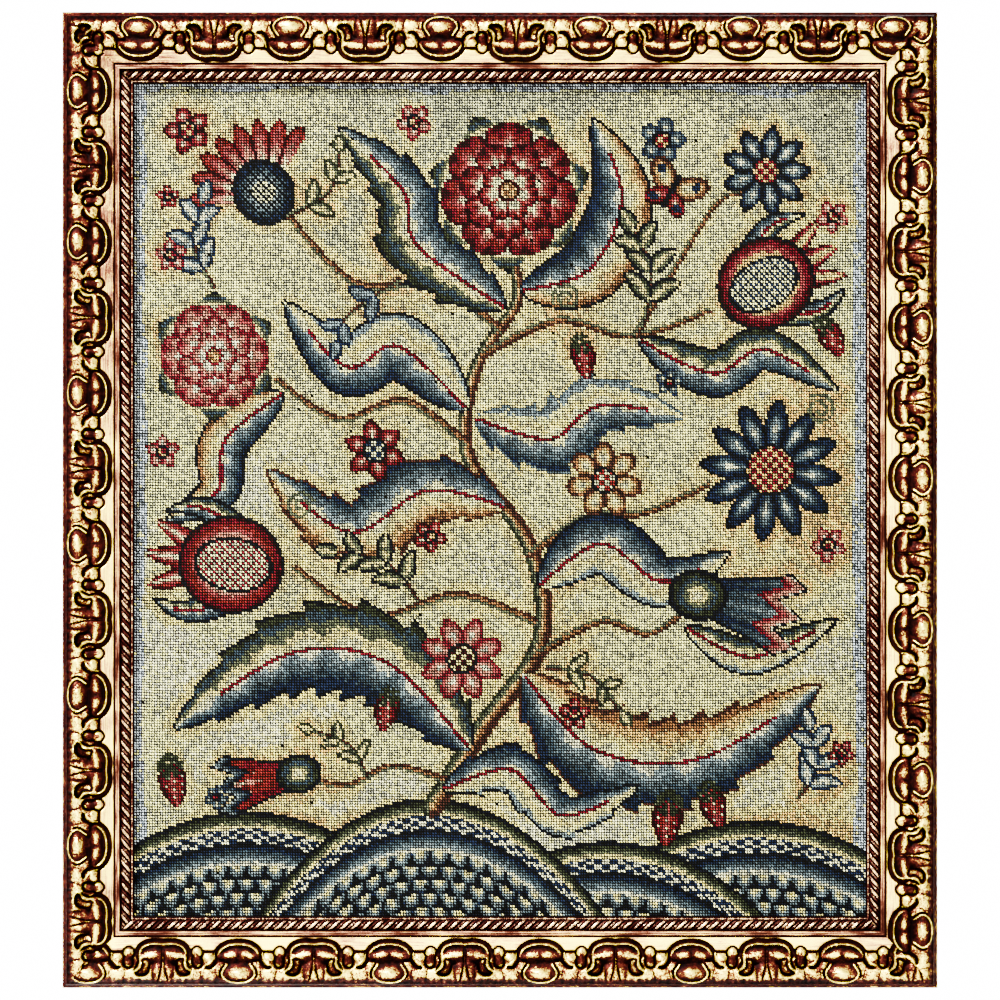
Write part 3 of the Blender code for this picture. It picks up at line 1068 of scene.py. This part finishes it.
def sprig(points, size, names=GREEN, pairs=3):
    """A thin stalk with small leaves in pairs and one at its end."""
    stem(points, 3.4, 2.6, ("bark", "sage"))
    line = rounded(points, False, 8)
    for k in range(pairs + 1):
        here = round((0.25 + 0.75 * k / pairs) * (len(line) - 1))
        x, z = line[here]
        ahead = math.atan2(z - line[here - 2][1], x - line[here - 2][0])
        reach = size * (1.2 - 0.35 * k / pairs)
        for lean in ((0,) if k == pairs else (-0.9, 0.9)):
            tip = (x + reach * math.cos(ahead + lean), z + reach * math.sin(ahead + lean))
            bend_x = (x + tip[0]) / 2 + 0.12 * reach * math.cos(ahead)
            bend_z = (z + tip[1]) / 2 + 0.12 * reach * math.sin(ahead)
            leaf([(x, z), (bend_x, bend_z), tip], size * 0.62, names, names, vein=None)


def tendril(x, z, size, turn, bend=1, name="sage"):
    """A thin spiral."""
    points = []
    for k in range(22):
        t = k / 21
        angle = math.radians(turn) + bend * t * 3.6 * np.pi
        radius = size * (1 - 0.82 * t)
        points.append((x + radius * math.cos(angle), z + radius * math.sin(angle)))
    place, offset = along_curve(points, 3)
    lay((abs(offset) < 1.15) & (place < 1), name)


def butterfly(x, z, size, turn):
    """Four spotted wings on a dark body."""
    for side in (-1, 1):
        for lean, reach, names in ((38, 1.0, GOLD), (-42, 0.72, RED)):
            ahead, left = turned(x, z, turn + side * (90 - lean))
            oval = np.hypot((ahead - 0.55 * size * reach) / (0.58 * reach), left / (0.36 * reach)) / size
            shade(oval < 1, 1 - oval, names)
            lay(np.hypot(ahead - 0.75 * size * reach, left) < 0.13 * size, "navy")
    ahead, left = turned(x, z, turn)
    lay((abs(left) < 0.075 * size) & (abs(ahead) < 0.55 * size), "ink")


def mound(x, wide, top, tall):
    """A hillock in bands that follow its crest: grass, chequers, a plain blue band, scales and dots."""
    crest = top - tall * ((X - x) / wide) ** 2
    depth = (crest - Z) / 11
    inside = depth > 0
    shade(inside & (depth < 1.1), depth / 1.1, ("ink", "moss", "sage", "wheat"))
    lay(inside & (depth < 0.2), "ink")
    checks = inside & (depth >= 1.1) & (depth < 2.0)
    lay(checks, "bone")
    lay(checks & ((column // 3 + (depth * 3.4).astype(int)) % 2 == 0), "navy")
    plain_band = inside & (depth >= 2.0) & (depth < 3.4)
    shade(plain_band, (depth - 2.0) / 1.4, ("ink", "navy", "teal", "slate", "mist", "bone"))
    low_part = inside & (depth >= 3.4)
    along = (X - x) / 13
    level = (depth - 3.4) / 0.9
    scale = np.hypot((along + 0.5 * (level.astype(int) % 2)) % 1 * 2 - 1, level % 1)
    shade(low_part, np.clip(1.1 - scale, 0, 1), ("navy", "slate", "mist", "cream", "wheat"))
    lay(low_part & (scale > 0.92), "ink")


mound(-176, 128, -216, 62)
mound(176, 128, -222, 58)
mound(74, 96, -236, 40)
mound(-48, 112, -206, 70)
stem([(-46, -212), (-12, -158), (28, -98), (20, -32), (-22, 30), (-16, 92), (12, 138), (6, 172)], 15, 7,
     ("bark", "bark", "amber", "honey", "sage", "moss"))
stem([(20, -38), (60, -12), (100, -8), (146, 12)], 6, 4)
stem([(24, -84), (-30, -66), (-88, -80), (-142, -46)], 6, 4)
stem([(-24, 40), (-66, 68), (-112, 56), (-156, 84)], 6, 4)
stem([(-12, 100), (40, 124), (92, 114), (146, 132)], 6, 4)
stem([(0, 118), (-44, 148), (-100, 150), (-146, 196)], 6, 4)
stem([(24, -108), (70, -84), (104, -92), (138, -68)], 6, 4)
stem([(-34, -194), (-74, -184), (-106, -198), (-140, -190)], 5, 4)
stem([(94, 114), (124, 166), (150, 206), (172, 214)], 5, 3)

leaf([(-20, -172), (-78, -112), (-146, -106), (-226, -158)], 66, DEEP_BLUE, GREEN, 9)
leaf([(16, -120), (66, -172), (140, -178), (222, -128)], 66, GOLD, DEEP_BLUE, 9)
leaf([(26, -60), (70, -30), (112, -56), (160, -36)], 44, BLUE, PALE)
leaf([(4, -6), (-50, 6), (-104, -22), (-162, 22)], 52, GOLD, BLUE, 8)
leaf([(-22, 62), (-70, 106), (-106, 92), (-150, 138)], 46, BLUE, PALE)
leaf([(-18, 56), (34, 42), (70, 66), (128, 58)], 48, PALE, BLUE, 8)
leaf([(14, 144), (62, 160), (84, 210), (64, 266)], 50, DEEP_BLUE, GOLD)
leaf([(4, 132), (-58, 176), (-68, 214), (-112, 258)], 48, GREEN, BLUE, 8)
leaf([(-40, -200), (8, -186), (44, -218), (98, -196)], 36, BLUE, PALE, 6)
leaf([(96, 112), (148, 88), (184, 104), (236, 74)], 34, GREEN, BLUE)
leaf([(-150, 74), (-190, 42), (-196, 6), (-232, -14)], 36, BLUE, GOLD)
leaf([(128, -88), (166, -108), (192, -104), (236, -82)], 26, GREEN, PALE)

rosette(6, 214, 48, 7, RED, 12)
daisy(188, 20, 50, 12, DEEP_BLUE, 0.36, 8)
pomegranate(-186, -44, 34, 172)
rosette(-198, 100, 38, 6, PINK, 30)
pomegranate(184, 150, 32, 28, ("wine", "crimson", "rose", "honey", "wheat"), ("cream", "navy"))
fan(-160, 208, 56, 122, RED, BLUE)
bell(138, -66, 70, 66, -14, BLUE, PINK)
daisy(-26, -110, 30, 8, PINK, 0.36, 0, 1.0, ("wheat", "wine"))
daisy(72, 14, 27, 7, GOLD, 0.34, 14, 1.4, ("scarlet", "cream"))
bell(-140, -190, 56, 50, 190, ("wine", "crimson", "scarlet", "blush", "cream"), BLUE)
daisy(184, 228, 32, 9, ("ink", "navy", "slate", "mist", "bone"), 0.32, 20)
daisy(-86, 34, 22, 6, RED, 0.4, 10, 0.8, ("cream", "navy"))
sprig([(34, -116), (64, -122), (84, -146)], 15, ("moss", "sage", "wheat"), 2)
sprig([(-70, 152), (-104, 128), (-112, 110)], 17, ("navy", "slate", "mist"), 2)
sprig([(100, 122), (104, 158), (92, 186)], 22, ("ink", "moss", "sage", "wheat"))
sprig([(-198, 148), (-212, 176), (-206, 206)], 20, ("navy", "teal", "mist", "bone"))
sprig([(-56, -70), (-78, -44), (-112, -36)], 20, ("ink", "moss", "sage", "wheat"))
sprig([(206, -206), (218, -186), (214, -160)], 20, ("navy", "teal", "mist", "bone"))
sprig([(-146, 196), (-118, 214), (-112, 240)], 16, ("moss", "sage", "wheat"), 2)
sprig([(-92, -190), (-104, -170), (-128, -160)], 14, ("moss", "sage", "wheat"), 2)
berry(116, -222, 16, -96)
berry(148, -212, 14, -72)
berry(-226, -196, 15, -80)
berry(230, 112, 13, -60)
berry(-78, -146, 13, -100)
berry(58, 98, 13, -80)
FLORETS = (
    (-228, 170, 12, PINK), (-216, 256, 17, RED), (228, -32, 13, PINK), (112, 250, 17, BLUE[1:]),
    (-230, 210, 9, RED), (230, 196, 12, PINK), (-234, 34, 12, PINK), (118, 82, 10, BLUE[1:]),
    (52, -148, 12, RED), (-60, 262, 13, PINK), (-48, -26, 12, RED), (236, -176, 10, RED),
    (-196, -206, 9, BLUE[1:]),
)
for x, z, radius, names in FLORETS:
    daisy(x, z, radius, 5, names, 0.4, x, 0.9)
tendril(222, 62, 11, 120, -1)
tendril(-138, -4, 10, 20)
tendril(46, 140, 10, 200, -1)
butterfly(118, 214, 24, 60)


def spread(mask, steps):
    """How many stitches each place lies from the mask, up to steps."""
    away = np.where(mask, 0, steps)
    for _ in range(steps):
        wide = np.pad(away, 1, mode="edge")
        near = np.minimum.reduce([wide[:-2, 1:-1], wide[2:, 1:-1], wide[1:-1, :-2], wide[1:-1, 2:]]) + 1
        away = np.minimum(away, near)
    return away


# The ground: dye lots in uneven patches, paler towards the bottom and darker in a band along the top edge,
# warmer beside the flowers, a paler blue-grey strip at the edges
ground = ~worked
fade = 0.54 * clouds(90, 60) + 0.22 * clouds(26, 18) + 0.18 * dice.random(X.shape) - 0.26 * Z / 288
fade -= 0.35 * np.exp((Z - SIGHT_HEIGHT / 2 / MM) / 16)
warm = 0.7 * clouds(60, 50) + 0.75 * np.clip(1 - spread(worked, 10) / 10, 0, 1) + 0.05 * uneven
warm += 0.34 * smooth(110, 250, X) * smooth(180, 40, Z)
fleck = dice.random(X.shape)
for name, held in (
    ("khaki", fade > -9), ("straw", fade > 0.40), ("bone", (fade > 0.64) & (fleck > 0.3)),
    ("stone", fade < 0.19), ("wheat", warm > 0.86), ("honey", (warm > 1.16) & (fleck > 0.25)),
):
    yarn[ground & held] = NAMES.index(name)
border = np.minimum(SIGHT_WIDTH / 2 / MM - abs(X), SIGHT_HEIGHT / 2 / MM - abs(Z))
border_width = 4.5 + 5.5 * clouds(30, 30)
border_width -= 5.0 * ((Z > 0) & (SIGHT_HEIGHT / 2 / MM - Z < 12)) * clouds(40, 40)
strip_held = ground & (border < border_width)
yarn[strip_held & (fleck > 0.06)] = NAMES.index("frost")
yarn[strip_held & (fleck > 0.86)] = NAMES.index("pewter")


# Canvas. One piece of open linen canvas, stretched flat over the strainer with its edges behind the lip of
# the moulding. The wool hides it in front, apart from its dark holes, and its back shows between the bars,
# where the same yarns cross from stitch to stitch.
canvas_low, canvas_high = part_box("needlework")
CANVAS_WIDTH = canvas_high[0] - canvas_low[0]
CANVAS_HEIGHT = canvas_high[2] - canvas_low[2]
CANVAS_FRONT = 0.75 * MM - canvas_high[1]
REVERSE = 0.15 * MM - canvas_high[1]
WORK_FACE = -canvas_low[1]
BACK_LEVEL = 0.55
BACK_SATURATION = 0.75
BACK_LIFT = 0.75


def canvas_finish():
    """Linen painted nearly black: painted shade, as its holes show between the stitches."""
    linen = Finish("linen_canvas", Roughness=0.9, Specular_IOR_Level=0.0)
    place = linen.place()
    cloud = linen.noise(place, 0.05, 4)
    fibre = linen.noise(place, 0.0006, 3, 0.7)
    tone = cloud * 0.6 + fibre * 0.5
    # Near-black colours: painted shade in the holes between the stitches
    hole = (0.0003, 0.0003, 0.0002)
    thread = (0.0016, 0.0016, 0.0010)
    linen.connect("Base Color", linen.ramp(tone, (0.25, hole), (0.85, thread)))
    linen.bump(fibre, 0.0003, 0.8)
    return linen.material


def back_finish():
    """The wrong side of the work: long slanting stitches in the yarns of the front, less faded."""
    wool = Finish("work_reverse", Roughness=0.95, Specular_IOR_Level=0.05)
    cloud = wool.noise(wool.place(), 0.045, 4)
    split = [wool.node("ShaderNodeSeparateXYZ", None, {0: wool.place()}, output=k) for k in (0, 2)]
    across, up = split[0] / STITCH_WIDE, split[1] / STITCH_HIGH
    row = up - across * 0.5
    off_row = row.math("PINGPONG", row, 0.5) * 2
    off_column = across.math("PINGPONG", across, 0.5) * 2
    gaps = off_row.between(0.55, 0.95) + off_column.between(0.75, 1.0) * 0.6
    fibre = wool.noise(wool.place((900, 900, 2600), turn=(0, 0.46, 0)), 1.0, 3, 0.7)
    knots = wool.noise(wool.place((300, 300, 520), turn=(0, 0.46, 0)), 1.0, 2, 0.7)
    level = 0.30 + cloud * 0.5 + fibre * 0.4 + (knots - 0.5) * 1.5
    level = level * (1 - gaps.math("MINIMUM", gaps, 1.0) * 0.75)
    colour = {0: wool.attribute("yarn", colour=True), "Scale": level}
    wool.connect("Base Color", wool.node("ShaderNodeVectorMath", {"operation": "SCALE"}, colour))
    wool.bump(fibre * 0.3 + knots * 0.8 - gaps * 0.7, 0.0006, 1.0)
    return wool.material


def yarns_at(x, z):
    """The back's colour at places given in mm from the panel's middle: neighbouring threads overlap there."""
    colours = np.array(list(YARNS.values()))[yarn]
    grey = colours.mean(axis=2, keepdims=True)
    colours = BACK_LEVEL * (grey + (colours - grey) * BACK_SATURATION) ** BACK_LIFT
    wide = np.pad(colours, ((1, 1), (1, 1), (0, 0)), mode="edge")
    rows, columns = colours.shape[:2]
    over = ((0, 0.25), (1, 0.5), (2, 0.25))
    colours = sum(wide[i : i + rows, j : j + columns] * p * q for i, p in over for j, q in over)
    i = np.clip(np.round((z - Z[0, 0]) * MM / STITCH_HIGH), 0, down_count - 1).astype(int)
    j = np.clip(np.round((x - X[0, 0]) * MM / STITCH_WIDE), 0, across_count - 1).astype(int)
    return np.c_[colours[i, j], np.ones(len(x))]


bpy.ops.object.select_all(action="DESELECT")
bpy.ops.mesh.primitive_grid_add(x_subdivisions=146, y_subdivisions=166, size=1)
canvas = bpy.context.object
canvas.name = "canvas"
x_share, z_share, _ = vertices_of(canvas).T
put_vertices(canvas, np.stack([CENTRE.x + x_share * CANVAS_WIDTH, np.full(len(x_share), -REVERSE),
                               CENTRE.z + z_share * CANVAS_HEIGHT], axis=-1))
in_edit_mode(canvas, close_under(REVERSE - CANVAS_FRONT), face_outwards)
site_x, _, site_z = vertices_of(canvas).T
layer = canvas.data.attributes.new("yarn", "FLOAT_COLOR", "POINT")
shown = yarns_at((site_x - CENTRE.x) / MM, (site_z - CENTRE.z) / MM)
layer.data.foreach_set("color", shown.astype(np.float32).ravel())
for finish in (canvas_finish(), back_finish()):
    canvas.data.materials.append(finish)
for face in canvas.data.polygons:
    face.material_index = int(face.normal.y > 0.5)
bpy.ops.object.shade_smooth_by_angle(angle=math.radians(40))
finish_piece(canvas, "worked_wool", "needlework")


# Tent stitch. Wool is worked over every crossing of the canvas, slanting down to the right. The canvas was
# pulled to tacks, so the rows swing near the edges and wander a little everywhere.
edge_x = SIGHT_WIDTH / 2 / MM - abs(X)
edge_z = SIGHT_HEIGHT / 2 / MM - abs(Z)
swing_z = 1.1 * np.exp(-edge_x / 11) * np.sin(2 * np.pi * Z / 37 + np.sign(X)) + 2.2 * (clouds(120, 90) - 0.5)
swing_x = 0.8 * np.exp(-edge_z / 9) * np.sin(2 * np.pi * X / 34) + 1.6 * (clouds(90, 120) - 0.5)
hold = smooth(0, 16, np.minimum(edge_x, edge_z)) * 0.75 + 0.25
lost = dice.random(X.shape) < 0.0006

# One stitch is a short plump lens of wool: six faces about its crown, from hole to hole
LENS = np.array([
    (-1.0, 0.0, 0.0), (-0.42, 0.92, 0.05), (0.46, 0.88, 0.05), (1.0, 0.0, 0.0), (0.42, -0.92, 0.05),
    (-0.46, -0.88, 0.05), (0.0, 0.0, 1.0),
])
LENS_FACES = np.array([(6, (k + 1) % 6, k) for k in range(6)])
HALF_LENGTH = 1.17
HALF_THICK = 0.55
WOOL_RISE = WORK_FACE / MM - CANVAS_FRONT / MM - 0.05
SLANT = math.atan2(-STITCH_HIGH, STITCH_WIDE)
STITCHES_IN_A_PIECE = 32000
SHADE_TINT = (0.96, 1.0, 1.04)
DEEP_DYE_LIFT = 0.9


def shaded(colour, share, greyer):
    """A yarn's colour away from the light: less of it, and greyer where the yarn is a pale one."""
    grey = sum(colour) / 3
    paleness = greyer * colour[1] / max(colour)
    share *= 1 + DEEP_DYE_LIFT * (1 - min(1, max(colour) / 0.3))
    return tuple(share * tint * (c + (grey - c) * paleness) for c, tint in zip(colour, SHADE_TINT))


def yarn_finish(name, colour):
    """Matt crewel wool: paler on some stitches, faded in patches, with fine hairs along the slant, and on
    each stitch a painted shade at its rim and a painted highlight at its top.
    """
    wool = Finish("wool_" + name, Specular_IOR_Level=0.01)
    tone = wool.attribute("tone")
    crown = wool.attribute("crown")
    fade = wool.noise(wool.place(), 0.03, 3)
    hair = wool.noise(wool.place((1500, 1500, 6500), turn=(0, SLANT, 0)), 1.0, 2, 0.6)
    # Painted shade and highlight: the crown value takes each stitch from near black at its rim through shaded
    # tones to a pale highlight at its top
    level = crown.between(-0.05, 0.78) * 0.82 + (tone - 0.5) * 0.46 + (fade - 0.5) * 0.2 + (hair - 0.5) * 0.15
    deep = shaded(colour, 0.016, 0.65)
    dark = shaded(colour, 0.13, 0.65)
    middle = shaded(colour, 0.45, 0.55)
    pale = tuple(min(1.0, c * 1.55) for c in colour)
    wool.connect("Base Color", wool.ramp(level, (0.12, deep), (0.36, dark), (0.57, middle), (0.80, pale)))
    wool.connect("Roughness", 0.78 + hair * 0.2)
    wool.bump(hair, 0.00012, 0.6)
    return wool.material


def stitches(name, rows, columns):
    """Many stitches of one yarn, as one piece, each with a square of its own on the piece's map."""
    count = len(rows)
    ahead = HALF_LENGTH * (1 + 0.07 * dice.normal(0, 1, count))
    thick = HALF_THICK * (1 + 0.09 * dice.normal(0, 1, count))
    rise = WOOL_RISE * np.clip(0.86 + 0.08 * dice.normal(0, 1, count), 0.6, 1)
    angle = SLANT + 0.09 * dice.normal(0, 1, count)
    x = X[rows, columns] + swing_x[rows, columns] * hold[rows, columns] + 0.05 * dice.normal(0, 1, count)
    z = Z[rows, columns] + swing_z[rows, columns] * hold[rows, columns] + 0.05 * dice.normal(0, 1, count)
    c, s = np.cos(angle), np.sin(angle)
    run, side, lift = (LENS[:, k][None, :] for k in range(3))
    run, side = run * ahead[:, None], side * thick[:, None]
    points = np.stack([
        CENTRE.x / MM + x[:, None] + run * c[:, None] - side * s[:, None],
        -CANVAS_FRONT / MM - lift * rise[:, None],
        CENTRE.z / MM + z[:, None] + run * s[:, None] + side * c[:, None],
    ], axis=-1).reshape(-1, 3) * MM
    faces = (LENS_FACES[None] + (np.arange(count) * len(LENS))[:, None, None]).reshape(-1, 3)
    mesh = bpy.data.meshes.new(name)
    mesh.from_pydata(points, [], faces)
    mesh.shade_smooth()
    piece = bpy.data.objects.new(name, mesh)
    bpy.context.collection.objects.link(piece)
    cells = math.ceil(math.sqrt(count))
    cell = np.arange(count)[:, None]
    map_x = (cell % cells + 0.5 + 0.42 * LENS[:, 0]) / cells
    map_y = (cell // cells + 0.5 + 0.42 * LENS[:, 1]) / cells
    on_map = np.stack([map_x, map_y], axis=-1).reshape(-1, 2)[faces.ravel()]
    layer = mesh.uv_layers.new(name="OFBake")
    layer.data.foreach_set("uv", on_map.astype(np.float32).ravel())
    set_values(piece, "tone", np.repeat(dice.random(count), len(LENS)))
    # The crown value, 0 at a stitch's rim and 1 at its top, that the wool's painted shade and highlight
    # follow
    set_values(piece, "crown", np.tile(LENS[:, 2], count))
    return piece


for number, (name, colour) in enumerate(YARNS.items()):
    rows, columns = np.nonzero((yarn == number) & ~lost)
    finish = yarn_finish(name, colour)
    parts = max(1, math.ceil(len(rows) / STITCHES_IN_A_PIECE))
    for part in range(parts):
        held = slice(part * len(rows) // parts, (part + 1) * len(rows) // parts)
        label = "stitches_" + name + ("_" + str(part + 1) if parts > 1 else "")
        piece = stitches(label, rows[held], columns[held])
        piece.data.materials.append(finish)
        finish_piece(piece, "worked_wool", "needlework")


# Strainer. Four bars of plain pine, butted at the corners, that the canvas is tacked to. Nothing is seen of
# them in front.
PINE = wood_both_ways("strainer_pine", (0.25, 0.142, 0.060), (0.085, 0.042, 0.017))
for side in ("top", "bottom", "left", "right"):
    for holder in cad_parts["strainer_" + side].material_slots:
        holder.material = PINE[grain_way(side)]


# Stage. A pale floor under the hanging picture, a large soft light above and to the left, a weak one from the
# right and one behind for the back, and a camera square to the picture's face.
FLOOR_BELOW = 0.25
bpy.ops.object.select_all(action="DESELECT")
floor_at = (0, 0, low[2] - FLOOR_BELOW)
bpy.ops.mesh.primitive_circle_add(vertices=96, radius=3.6, fill_type="NGON", location=floor_at)
floor = bpy.context.object
floor.name = "floor"
paint = Finish("floor_paint", Roughness=0.8)
tint = paint.noise(paint.place(), 0.8, 2)
paint.connect("Base Color", paint.ramp(tint, (0.3, (0.80, 0.79, 0.77)), (0.7, (0.84, 0.83, 0.81))))
floor.data.materials.append(paint.material)

LAMPS = (
    # name, place, size across, watts, colour
    ("key", (-1.1, -1.2, 1.5), 0.35, 1060, (1, 1, 1)),
    ("fill", (1.8, -1.8, -0.2), 1.2, 34, (1, 1, 1)),
    ("front", (-0.3, -7.2, 0.4), 3.2, 1420, (1.0, 0.92, 0.78)),
    ("behind", (0.6, 1.8, 0.9), 1.2, 60, (1, 1, 1)),
)
for name, place, size, watts, colour in LAMPS:
    light = bpy.data.lights.new(name, "AREA")
    light.shape = "DISK"
    light.size = size
    light.energy = watts
    light.color = colour
    lamp = bpy.data.objects.new(name, light)
    lamp.location = place
    lamp.visible_camera = False
    lamp.rotation_euler = (CENTRE - Vector(place)).to_track_quat("-Z", "Y").to_euler()
    bpy.context.collection.objects.link(lamp)

# To the camera the surroundings are white; what they throw on the picture is dim
WHITE = 16.0
DIM = 0.22
world = bpy.data.worlds.new("studio")
bpy.context.scene.world = world
world.use_nodes = True
sky = world.node_tree.nodes
glow = sky["Background"]
glow.inputs["Strength"].default_value = DIM
glow.inputs["Color"].default_value = (0.9, 0.93, 1.0, 1)
bright = sky.new("ShaderNodeBackground")
bright.inputs["Color"].default_value = (1, 1, 1, 1)
bright.inputs["Strength"].default_value = WHITE
path = sky.new("ShaderNodeLightPath")
choose = sky.new("ShaderNodeMixShader")
world.node_tree.links.new(path.outputs["Is Camera Ray"], choose.inputs[0])
world.node_tree.links.new(glow.outputs[0], choose.inputs[1])
world.node_tree.links.new(bright.outputs[0], choose.inputs[2])
world.node_tree.links.new(choose.outputs[0], sky["World Output"].inputs[0])

# The picture measures 876 by 976 pixels of a frame 1000 pixels square, its middle on the frame's
FRAME_PIXELS = 1000
PICTURE_PIXELS_WIDE = 876
CAMERA_DISTANCE = 6.0
FACE_DEPTH = 0.02
view_width = OUTER_WIDTH * FRAME_PIXELS / PICTURE_PIXELS_WIDE
camera_data = bpy.data.cameras.new("camera")
camera_data.sensor_width = 36
camera_data.lens = 36 * CAMERA_DISTANCE / view_width
camera = bpy.data.objects.new("camera", camera_data)
camera.location = (CENTRE.x, -CAMERA_DISTANCE - FACE_DEPTH, CENTRE.z)
camera.rotation_euler = (math.radians(90), 0, 0)
bpy.context.collection.objects.link(camera)
bpy.context.scene.camera = camera
